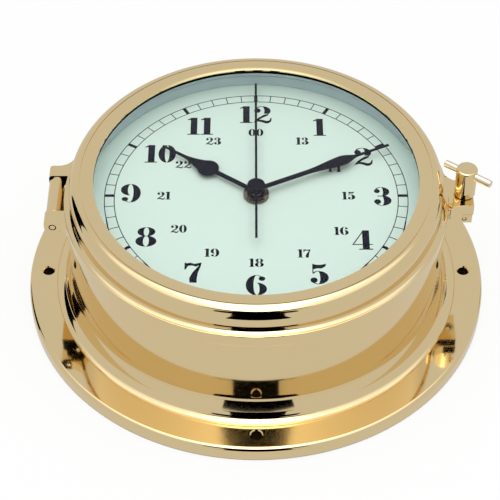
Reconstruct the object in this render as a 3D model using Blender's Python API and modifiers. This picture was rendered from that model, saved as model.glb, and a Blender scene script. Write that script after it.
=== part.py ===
"""Marine clock for a bulkhead: flanged brass case, hinged bezel with a T-screw latch, quartz movement.

The origin is the centre of the flange's back face. +Z points out of the dial and +Y to twelve o'clock,
so the bezel's hinge is at -X and its latch at +X.
"""

import math

import bmesh
import bpy
from mathutils import Matrix, Vector

MM = 0.001

# Clearances
GAP = 0.3 * MM              # between pieces that rest on each other
RUNNING_GAP = 0.1 * MM      # radial clearance of pins and arbors
PIPE_GAP = 0.2 * MM         # radial clearance between the concentric pipes of the hands
SWING_GAP = 1.0 * MM        # room that the bezel needs round the case to swing open

# Case
CASE_RADIUS = 79.8 * MM
CASE_HEIGHT = 47.8 * MM
CASE_WALL = 3.5 * MM
FOOT_WIDTH = 7.2 * MM       # cove's foot outside the wall
COVE_RADIUS = 5.1 * MM      # round at the cove's foot
COVE_SLOPE = math.radians(22)  # lean of the plain cone above that round
LEDGE_LOW = 8.0 * MM        # ledge's underside above the flange
LEDGE_RISE = 2.8 * MM       # height of the ledge's slope
LEDGE_STEP = 0.3 * MM       # ledge's edge beyond the cove's top
LEDGE_LIP = 0.2 * MM        # height of that edge's underside
FLANGE_WIDTH = 12.0 * MM
FLANGE_THICKNESS = 6.2 * MM
FLANGE_ROUND = 1.8 * MM
SPIGOT_RISE = 0.8 * MM      # spigot above the case's top edge
SPIGOT_INSET = 3.7 * MM     # spigot's side inside the case's side
LIP_WIDTH = 9.1 * MM        # inner lip that carries the dial
LIP_HEIGHT = 4.0 * MM
FLANGE_RADIUS = CASE_RADIUS + FOOT_WIDTH + FLANGE_WIDTH
SPIGOT_RADIUS = CASE_RADIUS - SPIGOT_INSET
SPIGOT_TOP = CASE_HEIGHT + SPIGOT_RISE

# Fixing holes of the flange
HOLE_RADIUS = 2.3 * MM
HOLE_CHAMFER = 0.45 * MM
HOLE_INSET = 8.0 * MM       # hole centres inside the flange's edge
HOLE_COUNT = 4

# Bezel
BEZEL_OVERHANG = 0.8 * MM   # skirt's side outside the case's side
SHOULDER_WIDTH = 4.7 * MM   # step inside the skirt that rests on the gasket
SKIRT_HEIGHT = 5.5 * MM
BEZEL_COVE_WIDTH = 2.7 * MM
BEZEL_COVE_HEIGHT = 1.4 * MM
BEZEL_SIDE_HEIGHT = 5.1 * MM
BEZEL_ROUND = 4.5 * MM
BEZEL_FACE_WIDTH = 10.2 * MM
FACE_DROP = 1.0 * MM        # opening's edge below the bezel's crest
FACE_SWELL = 0.7            # share of that drop risen at the face's middle
BEZEL_LIP = 1.5 * MM        # thickness of the lip over the glass
BEZEL_BOTTOM = CASE_HEIGHT + GAP
SKIRT_RADIUS = CASE_RADIUS + BEZEL_OVERHANG
SKIRT_BORE = SPIGOT_RADIUS + SWING_GAP
BEZEL_BORE = SKIRT_BORE - SHOULDER_WIDTH
BEZEL_RADIUS = SKIRT_RADIUS - BEZEL_COVE_WIDTH
OPENING_RADIUS = BEZEL_RADIUS - BEZEL_FACE_WIDTH
SKIRT_TOP = BEZEL_BOTTOM + SKIRT_HEIGHT
BEZEL_TOP = SKIRT_TOP + BEZEL_COVE_HEIGHT + BEZEL_SIDE_HEIGHT + BEZEL_ROUND
OPENING_TOP = BEZEL_TOP - FACE_DROP
BEZEL_LIP_BOTTOM = OPENING_TOP - BEZEL_LIP

# Dial and the pale ring round it
DIAL_THICKNESS = 1.2 * MM
DIAL_RING_WALL = 0.8 * MM
DIAL_RING_INSET = 0.7 * MM  # ring's outside clear of the bezel's bore
DIAL_EDGE = 0.4 * MM        # dial beyond the ring
FOOT_RADIUS = 1.2 * MM
FOOT_INSET = 2.6 * MM       # feet outside the lip's edge
FOOT_END = 1.0 * MM         # feet beyond their nuts
FOOT_COUNT = 3
FOOT_NUT_RADIUS = 2.3 * MM
FOOT_NUT_HEIGHT = 1.8 * MM
GASKET_WIDTH = 3.0 * MM
GASKET_THICKNESS = 0.7 * MM
DIAL_BOTTOM = SPIGOT_TOP + GAP
DIAL_TOP = DIAL_BOTTOM + DIAL_THICKNESS
GASKET_TOP = SPIGOT_TOP + GAP + GASKET_THICKNESS
FOOT_NUT_TOP = SPIGOT_TOP - LIP_HEIGHT - GAP
FOOT_BOTTOM = FOOT_NUT_TOP - FOOT_NUT_HEIGHT - FOOT_END
BEZEL_SHOULDER = GASKET_TOP + GAP
DIAL_RING_RADIUS = BEZEL_BORE - DIAL_RING_INSET
DIAL_RADIUS = DIAL_RING_RADIUS + DIAL_EDGE
FOOT_CIRCLE = SPIGOT_RADIUS - LIP_WIDTH + FOOT_INSET

# Glass, its seal and the ring that holds it
GLASS_THICKNESS = 4.0 * MM
GLASS_BEVEL = 2.5 * MM
GLASS_BEVEL_RISE = 1.0 * MM
GLASS_EDGE_SHOW = 2.1 * MM  # bevel seen inside the opening
SEAL_THICKNESS = 0.8 * MM
GLASS_RING_THICKNESS = 1.7 * MM
GLASS_RIM_TOP = BEZEL_LIP_BOTTOM - SEAL_THICKNESS - 2 * GAP
GLASS_TOP = GLASS_RIM_TOP + GLASS_BEVEL_RISE
GLASS_BOTTOM = GLASS_TOP - GLASS_THICKNESS
GLASS_RADIUS = BEZEL_BORE - GAP
GLASS_RING_TOP = GLASS_BOTTOM - GAP
GLASS_RING_BOTTOM = GLASS_RING_TOP - GLASS_RING_THICKNESS

# Hinge
HINGE_OUT = 4.7 * MM        # pin's axis outside the case's side
HINGE_RISE = 2.1 * MM       # pin's axis above the case's top edge
HINGE_HALF = 16.9 * MM
KNUCKLE_WIDTH = 6.4 * MM
KNUCKLE_RADIUS = 3.5 * MM
KNUCKLE_CORNER = 1.6 * MM  # rounding of the knuckles' upper outer corner
BARREL_RADIUS = 3.3 * MM
PIN_RADIUS = 1.5 * MM
ARM_WIDTH = 3.3 * MM
ARM_HEIGHT = 6.3 * MM
ARM_TOP_DROP = 0.9 * MM     # arm's top below the case's top edge
NECK_INSET = 0.6 * MM       # neck's back inside the barrel's
NECK_OVERLAP = 1.2 * MM     # neck inside the barrel
SLOT_BEYOND = 15.0 * MM     # cutter of the knuckles' slot beyond the pin's axis
EAR_FILLET = 7.0 * MM
HINGE_X = -(CASE_RADIUS + HINGE_OUT)
HINGE_Z = CASE_HEIGHT + HINGE_RISE
BARREL_HALF = HINGE_HALF - KNUCKLE_WIDTH - GAP

# Latch
LATCH_OUT = 7.6 * MM        # screw's axis outside the case's side
EAR_OUT = 11.2 * MM         # ear's end outside the case's side
EAR_HALF = 7.7 * MM
EAR_HEIGHT = 5.2 * MM
LUG_SET_BACK = 0.3 * MM     # lug inside the ear's outline
LUG_FILLET = 2.5 * MM
LUG_HEIGHT = 4.2 * MM
HEAD_RADIUS = 4.4 * MM
HEAD_ROUND = 0.8 * MM
HEAD_HEIGHT = 14.0 * MM
BAR_RADIUS = 1.6 * MM
BAR_HALF = 11.0 * MM
BAR_SHIFT = 0.6 * MM        # bar's middle beyond the head's axis
BAR_CHAMFER = 0.4 * MM
SCREW_CHAMFER = 0.4 * MM
BAR_DROP = 2.7 * MM         # bar's axis below the head's top
BAR_TURN = math.radians(-36.3)
SCREW_RADIUS = 1.5 * MM
SCREW_THREAD_GAP = 0.3 * MM
SCREW_REACH = 3.0 * MM      # screw's tip below the lug's top
GROOVE_DEPTH = 0.4 * MM
CLIP_RADIUS = 2.8 * MM
CLIP_THICKNESS = 0.6 * MM
LATCH_TRAVEL = 3.4 * MM
BUSH_WALL = 0.6 * MM
CROSS_PIN_RADIUS = 0.9 * MM
LATCH_X = CASE_RADIUS + LATCH_OUT
EAR_X = CASE_RADIUS + EAR_OUT
EAR_TOP = BEZEL_BOTTOM + EAR_HEIGHT
LUG_BOTTOM = CASE_HEIGHT - LUG_HEIGHT
HEAD_BOTTOM = EAR_TOP + GAP
HEAD_TOP = HEAD_BOTTOM + HEAD_HEIGHT
SCREW_TIP = CASE_HEIGHT - SCREW_REACH
CLIP_BOTTOM = BEZEL_BOTTOM + GAP
COUNTERBORE_TOP = CLIP_BOTTOM + CLIP_THICKNESS + LATCH_TRAVEL + RUNNING_GAP
BUSH_BORE = SCREW_RADIUS + SCREW_THREAD_GAP
BUSH_RADIUS = BUSH_BORE + BUSH_WALL

# Movement housing
HOUSING_WALL = 1.2 * MM
FRONT_WALL = 1.3 * MM
COVER_THICKNESS = 1.5 * MM
COVER_ROOM = 2.0 * MM       # room between the last wheel and the cover
BAY_WALL = 1.0 * MM
POST_RADIUS = 1.5 * MM
NECK_RADIUS = 4.0 * MM
NECK_RISE = 1.8 * MM        # neck's end above the dial
DIAL_NUT_RADIUS = 5.35 * MM
DIAL_NUT_HEIGHT = 1.4 * MM
HOUSING_FRONT = DIAL_BOTTOM - GAP
FRONT_INNER = HOUSING_FRONT - FRONT_WALL

# Battery along X at the bottom of the housing: an AA cell sets the housing's side
BATTERY_RADIUS = 7.1 * MM
BATTERY_LENGTH = 49.2 * MM
BATTERY_NUB_RADIUS = 2.7 * MM
BATTERY_NUB_LENGTH = 1.2 * MM
CONTACT_THICKNESS = 0.7 * MM
CONTACT_DIMPLE = 0.6 * MM
CONTACT_HEIGHT = 9.0 * MM
CELL_LENGTH = BATTERY_LENGTH + BATTERY_NUB_LENGTH
HOUSING_SIDE = CELL_LENGTH + CONTACT_DIMPLE + 2 * (CONTACT_THICKNESS + HOUSING_WALL + 2 * GAP)
HOUSING_INNER = HOUSING_SIDE / 2 - HOUSING_WALL
BATTERY_Y = -HOUSING_INNER + GAP + BATTERY_RADIUS
BATTERY_Z = FRONT_INNER - GAP - BATTERY_RADIUS
BAY_Y = BATTERY_Y + BATTERY_RADIUS + GAP

# Wheels: teeth and sizes
ADDENDUM = 0.9              # share of the module
DEDENDUM = 1.2
TOOTH_ROOT = 0.6            # share of the tooth pitch
TOOTH_TIP = 0.22
ROTOR_LEAVES = 6
STEP_TEETH = 30
STEP_LEAVES = 6
SECOND_TEETH = 36
SECOND_LEAVES = 6
THIRD_TEETH = 45
THIRD_LEAVES = 6
CENTRE_TEETH = 48
MINUTE_LEAVES = 8
MOTION_TEETH = 24
MOTION_LEAVES = 8
HOUR_TEETH = 32
ROTOR_DISTANCE = 6.3 * MM   # centre distances of the meshing pairs
STEP_DISTANCE = 7.35 * MM
THIRD_DISTANCE = 9.6 * MM
MOTION_DISTANCE = 10.0 * MM
WHEEL_THICKNESS = 0.6 * MM
CENTRE_THICKNESS = 0.8 * MM
MOTION_THICKNESS = 1.0 * MM
HOUR_THICKNESS = 1.2 * MM
ARBOR_RADIUS = 0.45 * MM
MOTION_ARBOR_RADIUS = 0.6 * MM
PIVOT_DEPTH = 0.7 * MM      # pivot's hole in a plate
MAGNET_RADIUS = 3.0 * MM
MAGNET_HEIGHT = 2.4 * MM

# Bridge, drive and board
BRIDGE_THICKNESS = 0.8 * MM
BRIDGE_HALF = 19.8 * MM
BRIDGE_TOP = 14.0 * MM
POST_INSET = 2.6 * MM       # posts inside the bridge's edges
STATOR_THICKNESS = 1.4 * MM
STATOR_GAP = 0.6 * MM
STATOR_POLE = 0.75 * MM     # iron round the rotor's hole
STATOR_ARM = 2.5 * MM
COIL_RADIUS = 3.0 * MM
COIL_CHEEK = 1.0 * MM
WINDING_DEPTH = 0.5 * MM    # winding below the cheeks
COIL_LENGTH = 20.1 * MM
COIL_SPACE = 4.0 * MM       # coil above the bridge's edge
ELBOW_SPACE = 1.9 * MM      # stator's elbow below the coil
BOARD_THICKNESS = 1.0 * MM
BOARD_WIDTH = 15.9 * MM
BOARD_LENGTH = 11.9 * MM
CRYSTAL_RADIUS = 1.0 * MM
CRYSTAL_LENGTH = 6.0 * MM
KNOB_RADIUS = 4.5 * MM
KNOB_HEIGHT = 2.8 * MM
KNOB_CHAMFER = 0.4 * MM
COIL_Y = BRIDGE_TOP + COIL_SPACE + COIL_RADIUS

# Depth of each layer under the housing's front wall
HOUR_LAYER = 0.4 * MM
LAYER_SPACE = 0.7 * MM
CLUTCH_SPACE = 1.3 * MM     # room above the centre wheel
CLUTCH_HEIGHT = 0.8 * MM    # minute pipe below the centre wheel
MOTION_LAYER = HOUR_LAYER + HOUR_THICKNESS + LAYER_SPACE
CENTRE_LAYER = MOTION_LAYER + MOTION_THICKNESS + CLUTCH_SPACE
MINUTE_FOOT = CENTRE_LAYER + CENTRE_THICKNESS + CLUTCH_HEIGHT
BRIDGE_LAYER = MINUTE_FOOT + GAP
SECOND_PINION_LAYER = BRIDGE_LAYER + BRIDGE_THICKNESS + GAP
THIRD_LAYER = BRIDGE_LAYER + BRIDGE_THICKNESS + LAYER_SPACE
SECOND_LAYER = THIRD_LAYER + WHEEL_THICKNESS + LAYER_SPACE
STEP_PINION_LAYER = SECOND_LAYER - GAP
MAGNET_LAYER = THIRD_LAYER
STATOR_LAYER = MAGNET_LAYER + (MAGNET_HEIGHT - STATOR_THICKNESS) / 2
STEP_LAYER = MAGNET_LAYER + MAGNET_HEIGHT + LAYER_SPACE
ROTOR_PINION_LAYER = STEP_LAYER - GAP
COVER_LAYER = STEP_LAYER + WHEEL_THICKNESS + COVER_ROOM
COVER_TOP = FRONT_INNER - COVER_LAYER
HOUSING_BACK = COVER_TOP - COVER_THICKNESS

# Axes of the movement, seen from the front
STEP_AXIS = Vector((STEP_DISTANCE, 0, 0))
ROTOR_AXIS = Vector((STEP_DISTANCE + ROTOR_DISTANCE, 0, 0))
THIRD_AXIS = Vector((-THIRD_DISTANCE, 0, 0))
MOTION_AXIS = Vector((0, MOTION_DISTANCE, 0))
CENTRE_AXIS = Vector((0, 0, 0))

# Hands
ARBOR_TOP = 6.5 * MM        # heights above the dial
MINUTE_PIPE_TOP = 4.0 * MM
HOUR_PIPE_TOP = 2.7 * MM
HOUR_HAND_RISE = 2.1 * MM
MINUTE_HAND_RISE = 3.4 * MM
SECOND_HAND_RISE = 4.7 * MM
CAP_RISE = 5.3 * MM
HAND_THICKNESS = 0.4 * MM
MINUTE_PIPE_RADIUS = 1.4 * MM
HOUR_PIPE_RADIUS = 2.4 * MM
CAP_RADIUS = 3.7 * MM
CAP_HEIGHT = 1.9 * MM
CAP_CROWN = 0.5 * MM        # cap's middle above its edge
HOUR_BOSS_RADIUS = 3.6 * MM
MINUTE_BOSS_RADIUS = 3.0 * MM
SECOND_BOSS_RADIUS = 2.2 * MM
HOUR_HAND_LENGTH = 49.0 * MM
HOUR_SHAFT_HALF = 1.05 * MM
HOUR_TIP_HALF = 0.45 * MM
PEAR_CENTRE = 24.9 * MM
PEAR_RADIUS = 4.6 * MM
PEAR_TAPER = 10.5 * MM
PEAR_NECK_HALF = 0.72 * MM  # half width where the pear's taper ends
PEAR_HOLLOW = 1.8           # how quickly the taper falls
MINUTE_HAND_LENGTH = 63.2 * MM
MINUTE_SHAFT_HALF = 1.15 * MM
MINUTE_TIP_HALF = 0.6 * MM
LEAF_START = 24.0 * MM
LEAF_WIDEST = 41.0 * MM
LEAF_END = 48.5 * MM
LEAF_HALF = 2.7 * MM
SECOND_HAND_LENGTH = 66.2 * MM
SECOND_TAIL = 29.5 * MM
SECOND_HALF = 0.5 * MM
MINUTE_ANGLE = 64.2         # degrees clockwise from twelve
HOUR_ANGLE = 300.0 + MINUTE_ANGLE / 12

# Facets of round pieces
RING_STEPS = 72
PIECE_STEPS = 32
SMALL_STEPS = 16
HIDDEN_RING_STEPS = 48
NUT_STEPS = 12
HALF_FACET = math.pi / SMALL_STEPS  # keeps the corners of small round cutters off the rings' own edges
ARC_STEPS = 5


def make_collection(name):
    """Return a new collection in the scene."""
    collection = bpy.data.collections.new(name)
    bpy.context.scene.collection.children.link(collection)
    return collection


def finish(name, colour, metallic, roughness):
    """Return a Principled material."""
    material = bpy.data.materials.new(name)
    material.use_nodes = True
    shader = material.node_tree.nodes["Principled BSDF"]
    shader.inputs["Base Color"].default_value = (*colour, 1)
    shader.inputs["Metallic"].default_value = metallic
    shader.inputs["Roughness"].default_value = roughness
    material.diffuse_color = (*colour, 1)
    return material


def brass(name):
    return finish(name, (0.80, 0.60, 0.30), 1.0, 0.12)


def black_paint(name):
    return finish(name, (0.01, 0.01, 0.02), 0.0, 0.4)


def white_plastic(name):
    return finish(name, (0.80, 0.82, 0.80), 0.0, 0.45)


def black_plastic(name):
    return finish(name, (0.03, 0.03, 0.035), 0.0, 0.5)


def steel(name):
    return finish(name, (0.60, 0.61, 0.62), 1.0, 0.3)


def add_object(name, mesh, material):
    """Put a mesh into the clock's collection under its own name and material."""
    item = bpy.data.objects.new(name, mesh)
    mesh.materials.clear()
    mesh.materials.append(material)
    PARTS.objects.link(item)
    return item


def smooth(item):
    """Shade the round faces of a piece smooth."""
    item.data.shade_smooth()
    item.data.set_sharp_from_angle(angle=math.radians(35))
    return item


def lathe(name, profile, material, steps=PIECE_STEPS):
    """Turn a profile of (radius, height) round Z: down the outside, then up the bore if there is one."""
    points = [(radius, 0, height) for radius, height in profile]
    links = [(index, index + 1) for index in range(len(points) - 1)]
    if profile[0][0] > 0:
        links.append((len(points) - 1, 0))
    mesh = bpy.data.meshes.new(name)
    mesh.from_pydata(points, links, [])
    item = add_object(name, mesh, material)
    turn = item.modifiers.new("turn", "SCREW")
    turn.axis = "Z"
    turn.steps = steps
    turn.render_steps = steps
    turn.use_merge_vertices = True
    turn.merge_threshold = 0.000001
    turn.use_smooth_shade = True
    return item


def tube(name, outer, inner, bottom, top, material, steps=PIECE_STEPS):
    """Plain ring."""
    return lathe(name, [(inner, top), (outer, top), (outer, bottom), (inner, bottom)], material, steps)


def disc(name, radius, bottom, top, material, steps=PIECE_STEPS):
    """Plain solid cylinder on Z."""
    return lathe(name, [(0, top), (radius, top), (radius, bottom), (0, bottom)], material, steps)


def box(name, low, high, material):
    """Box between two corners."""
    low, high = Vector(low), Vector(high)
    size = high - low
    place = Matrix.Translation((low + high) / 2) @ Matrix.Diagonal((*size, 1))
    shape = bmesh.new()
    bmesh.ops.create_cube(shape, size=1, matrix=place)
    mesh = bpy.data.meshes.new(name)
    shape.to_mesh(mesh)
    shape.free()
    return add_object(name, mesh, material)


def rod(name, radius, start, end, material, steps=SMALL_STEPS):
    """Cylinder between two points, with a facet edge on each of its own axes."""
    start, end = Vector(start), Vector(end)
    run = end - start
    turn = run.to_track_quat("Z", "Y").to_matrix().to_4x4()
    shape = bmesh.new()
    bmesh.ops.create_cone(shape, cap_ends=True, segments=steps, radius1=radius, radius2=radius,
                          depth=run.length, matrix=Matrix.Translation((start + end) / 2) @ turn)
    mesh = bpy.data.meshes.new(name)
    shape.to_mesh(mesh)
    shape.free()
    return smooth(add_object(name, mesh, material))


def flat_solid(name, outlines, bottom, top, material):
    """Flat solid from closed outlines in X and Y, the later ones being its holes."""
    curve = bpy.data.curves.new(name, "CURVE")
    curve.dimensions = "2D"
    curve.fill_mode = "BOTH"
    curve.extrude = (top - bottom) / 2
    for outline in outlines:
        spline = curve.splines.new("POLY")
        spline.points.add(len(outline) - 1)
        for point, (x, y) in zip(spline.points, outline):
            point.co = (x, y, 0, 1)
        spline.use_cyclic_u = True
    drawn = bpy.data.objects.new(name, curve)
    PARTS.objects.link(drawn)
    bpy.context.view_layer.update()
    graph = bpy.context.evaluated_depsgraph_get()
    mesh = bpy.data.meshes.new_from_object(drawn.evaluated_get(graph))
    bpy.data.objects.remove(drawn)
    bpy.data.curves.remove(curve)
    shape = bmesh.new()
    shape.from_mesh(mesh)
    bmesh.ops.remove_doubles(shape, verts=shape.verts, dist=0.000001)
    bmesh.ops.translate(shape, verts=shape.verts, vec=(0, 0, (bottom + top) / 2))
    shape.to_mesh(mesh)
    shape.free()
    return add_object(name, mesh, material)


def combine(target, tool, operation):
    """Join a tool to a piece or cut it away; the tool goes to the cutters."""
    change = target.modifiers.new(tool.name, "BOOLEAN")
    change.object = tool
    change.operation = operation
    change.solver = "EXACT"
    PARTS.objects.unlink(tool)
    CUTTERS.objects.link(tool)
    tool.hide_render = True
    tool.display_type = "WIRE"
    return target


def join(target, tool):
    return combine(target, tool, "UNION")


def cut(target, tool):
    return combine(target, tool, "DIFFERENCE")


def circle(radius, steps, centre=(0, 0)):
    """Closed round outline."""
    turns = [2 * math.pi * index / steps for index in range(steps)]
    return [(centre[0] + radius * math.cos(turn), centre[1] + radius * math.sin(turn)) for turn in turns]


def arc(centre, radius, start, end, steps=ARC_STEPS):
    """Points on an arc between two angles in degrees, both ends included."""
    turns = [math.radians(start + (end - start) * index / steps) for index in range(steps + 1)]
    return [(centre[0] + radius * math.cos(turn), centre[1] + radius * math.sin(turn)) for turn in turns]


def ease(share):
    """Smooth step from 0 to 1."""
    return share * share * (3 - 2 * share)


def place_on(item, axis, turn=0.0):
    """Move a piece and the tools that shape it onto an axis of the movement."""
    tools = [change.object for change in item.modifiers if change.type == "BOOLEAN"]
    for piece in [item] + tools:
        piece.location = (axis.x, axis.y, 0)
        piece.rotation_euler = (0, 0, turn)
    return item


def hang_on(pivot_name, place, items):
    """Parent pieces to an empty on their joint's axis."""
    pivot = bpy.data.objects.new(pivot_name, None)
    pivot.location = place
    PARTS.objects.link(pivot)
    bpy.context.view_layer.update()
    for item in items:
        item.parent = pivot
        item.matrix_parent_inverse = pivot.matrix_world.inverted()


# Case


def case_profile():
    """Section of the case: spigot, wall, ledge, cove and flange outside, plain bore inside."""
    ledge_low = FLANGE_THICKNESS + LEDGE_LOW
    cove_centre = (CASE_RADIUS + FOOT_WIDTH, FLANGE_THICKNESS + COVE_RADIUS)
    bore = CASE_RADIUS - CASE_WALL
    spigot_bore = SPIGOT_RADIUS - LIP_WIDTH
    slope_end = 180 + math.degrees(COVE_SLOPE)
    cove = arc(cove_centre, COVE_RADIUS, slope_end, 270)
    slope_radius, slope_height = cove[0]
    cove_top = slope_radius - (ledge_low - slope_height) * math.tan(COVE_SLOPE)
    rim_centre = (FLANGE_RADIUS - FLANGE_ROUND, FLANGE_THICKNESS - FLANGE_ROUND)
    outside = [(spigot_bore, SPIGOT_TOP), (SPIGOT_RADIUS, SPIGOT_TOP), (SPIGOT_RADIUS, CASE_HEIGHT),
               (CASE_RADIUS, CASE_HEIGHT), (CASE_RADIUS, ledge_low + LEDGE_RISE),
               (cove_top + LEDGE_STEP, ledge_low + LEDGE_LIP), (cove_top, ledge_low)]
    outside += cove
    outside += arc(rim_centre, FLANGE_ROUND, 90, 0, 3)
    inside = [(FLANGE_RADIUS, 0), (bore, 0), (bore, SPIGOT_TOP - LIP_HEIGHT - CASE_WALL),
              (bore - CASE_WALL, SPIGOT_TOP - LIP_HEIGHT), (spigot_bore, SPIGOT_TOP - LIP_HEIGHT)]
    return outside + inside


def foot_turns():
    """Angles of the dial's feet."""
    return [math.radians(90 + 360 * index / FOOT_COUNT) for index in range(FOOT_COUNT)]


def round_place(radius, turn, height):
    return Vector((radius * math.cos(turn), radius * math.sin(turn), height))


def make_case():
    case = lathe("case_body", case_profile(), brass("case brass"), RING_STEPS)
    for index in range(HOLE_COUNT):
        turn = 2 * math.pi * index / HOLE_COUNT
        top = FLANGE_THICKNESS
        profile = [(0, top + GAP), (HOLE_RADIUS + HOLE_CHAMFER + GAP, top + GAP),
                   (HOLE_RADIUS, top - HOLE_CHAMFER), (HOLE_RADIUS, -GAP), (0, -GAP)]
        hole = lathe(f"fixing_hole_{index + 1}", profile, case.data.materials[0], SMALL_STEPS)
        hole.location = round_place(FLANGE_RADIUS - HOLE_INSET, turn, 0)
        hole.rotation_euler.z = turn + HALF_FACET
        cut(case, hole)
    for index, turn in enumerate(foot_turns()):
        hole = disc(f"foot_hole_{index + 1}", FOOT_RADIUS + GAP, SPIGOT_TOP - LIP_HEIGHT - GAP,
                    SPIGOT_TOP + GAP, case.data.materials[0], SMALL_STEPS)
        hole.location = round_place(FOOT_CIRCLE, turn, 0)
        hole.rotation_euler.z = turn + HALF_FACET
        cut(case, hole)
    return case


def wall_cutter(name):
    """Solid cylinder that keeps a lug clear of the case's side."""
    return disc(name, CASE_RADIUS + GAP, -FLANGE_THICKNESS, BEZEL_TOP, steel(name), RING_STEPS)


def make_hinge():
    metal = brass("hinge brass")
    barrel = rod("hinge_barrel", BARREL_RADIUS, (HINGE_X, -BARREL_HALF, HINGE_Z),
                 (HINGE_X, BARREL_HALF, HINGE_Z), metal, PIECE_STEPS)
    arm_top = CASE_HEIGHT - ARM_TOP_DROP
    arm_bottom = arm_top - ARM_HEIGHT
    back = HINGE_X - BARREL_RADIUS + NECK_INSET
    neck = box("hinge_neck", (back, -BARREL_HALF, arm_bottom),
               (back + ARM_WIDTH, BARREL_HALF, HINGE_Z - BARREL_RADIUS + NECK_OVERLAP), metal)
    arm = box("hinge_arm", (back, -BARREL_HALF, arm_bottom),
              (-CASE_RADIUS + CASE_WALL, BARREL_HALF, arm_top), metal)
    join(barrel, neck)
    join(barrel, arm)
    cut(barrel, wall_cutter("hinge_wall_cutter"))
    end = HINGE_HALF + GAP
    bore = rod("barrel_bore", PIN_RADIUS + RUNNING_GAP, (HINGE_X, -end, HINGE_Z), (HINGE_X, end, HINGE_Z),
               metal, PIECE_STEPS)
    cut(barrel, bore)
    rod("hinge_pin", PIN_RADIUS, (HINGE_X, -HINGE_HALF, HINGE_Z), (HINGE_X, HINGE_HALF, HINGE_Z),
        brass("hinge pin brass"), PIECE_STEPS)


def ear_outline(root, reach, half_width, fillet):
    """Ear on a round body along +X: two straight sides that flow into the body with tangent fillets."""
    across = half_width + fillet
    along = math.sqrt((root + fillet) ** 2 - across ** 2)
    meet = math.degrees(math.atan2(across, along))
    fillet_arc = arc((along, across), fillet, 270, 180 + meet)
    upper = [(reach, half_width)] + fillet_arc
    lower = [(x, -y) for x, y in reversed(upper)]
    inner = upper[-1][0] - fillet
    return [(inner, lower[0][1])] + lower + upper + [(inner, upper[-1][1])]


def make_latch_lug():
    metal = brass("latch lug brass")
    half = EAR_HALF - LUG_SET_BACK
    reach = EAR_X - LUG_SET_BACK
    outline = ear_outline(CASE_RADIUS, reach, half, LUG_FILLET)
    lug = flat_solid("latch_lug", [outline], LUG_BOTTOM, CASE_HEIGHT, metal)
    cut(lug, wall_cutter("lug_wall_cutter"))
    bore = disc("bush_bore", BUSH_RADIUS + RUNNING_GAP, LUG_BOTTOM - GAP, CASE_HEIGHT + GAP, metal,
                SMALL_STEPS)
    bore.location.x = LATCH_X
    cut(lug, bore)
    pin_z = (LUG_BOTTOM + CASE_HEIGHT) / 2
    pin_end = -(BUSH_RADIUS + GAP)
    hole = rod("cross_pin_hole", CROSS_PIN_RADIUS + RUNNING_GAP, (LATCH_X, -half - GAP, pin_z),
               (LATCH_X, 0, pin_z), metal)
    cut(lug, hole)
    rod("bush_pin", CROSS_PIN_RADIUS, (LATCH_X, -half, pin_z), (LATCH_X, pin_end, pin_z),
        brass("bush pin brass"))
    bush = tube("thread_bush", BUSH_RADIUS, BUSH_BORE, LUG_BOTTOM + GAP, CASE_HEIGHT - GAP,
                steel("bush steel"), SMALL_STEPS)
    bush.location.x = LATCH_X


# Dial


def make_dial():
    enamel = finish("dial white", (0.70, 0.82, 0.75), 0, 0.5)
    dial = disc("dial_plate", DIAL_RADIUS, DIAL_BOTTOM, DIAL_TOP, enamel, RING_STEPS)
    neck_hole = disc("dial_neck_hole", NECK_RADIUS + GAP, DIAL_BOTTOM - GAP, DIAL_TOP + GAP, enamel)
    for index, turn in enumerate(foot_turns()):
        place = round_place(FOOT_CIRCLE, turn, 0)
        foot = disc(f"dial_foot_{index + 1}", FOOT_RADIUS, FOOT_BOTTOM, (DIAL_BOTTOM + DIAL_TOP) / 2, enamel,
                    SMALL_STEPS)
        foot.location = place
        foot.rotation_euler.z = turn + HALF_FACET
        join(dial, foot)
        nut = tube(f"dial_foot_nut_{index + 1}", FOOT_NUT_RADIUS, FOOT_RADIUS + RUNNING_GAP,
                   FOOT_NUT_TOP - FOOT_NUT_HEIGHT, FOOT_NUT_TOP, brass(f"foot nut brass {index + 1}"),
                   NUT_STEPS)
        nut.location = place
    cut(dial, neck_hole)
    tube("dial_ring", DIAL_RING_RADIUS, DIAL_RING_RADIUS - DIAL_RING_WALL, DIAL_TOP + GAP,
         GLASS_RING_BOTTOM - GAP, white_plastic("dial ring white"), RING_STEPS)
    gasket_outer = SPIGOT_RADIUS - GAP
    tube("case_gasket", gasket_outer, gasket_outer - GASKET_WIDTH, SPIGOT_TOP + GAP, GASKET_TOP,
         finish("gasket rubber", (0.02, 0.02, 0.02), 0, 0.7), HIDDEN_RING_STEPS)


# Bezel


def bezel_profile():
    """Section of the bezel ring: face, rounded edge, side, cove and skirt outside, stepped bore inside."""
    crest = (BEZEL_RADIUS - BEZEL_ROUND, BEZEL_TOP)
    side_bottom = SKIRT_TOP + BEZEL_COVE_HEIGHT
    face_middle = ((OPENING_RADIUS + crest[0]) / 2, OPENING_TOP + FACE_DROP * FACE_SWELL)
    outside = [(OPENING_RADIUS, OPENING_TOP), face_middle]
    outside += arc((crest[0], BEZEL_TOP - BEZEL_ROUND), BEZEL_ROUND, 90, 0)
    for index in range(4):
        turn = math.pi / 2 * index / 3
        outside.append((SKIRT_RADIUS - BEZEL_COVE_WIDTH * math.cos(turn),
                        side_bottom - BEZEL_COVE_HEIGHT * math.sin(turn)))
    inside = [(SKIRT_RADIUS, BEZEL_BOTTOM), (SKIRT_BORE, BEZEL_BOTTOM), (SKIRT_BORE, BEZEL_SHOULDER),
              (BEZEL_BORE, BEZEL_SHOULDER), (BEZEL_BORE, BEZEL_LIP_BOTTOM),
              (OPENING_RADIUS, BEZEL_LIP_BOTTOM)]
    return outside + inside


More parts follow.
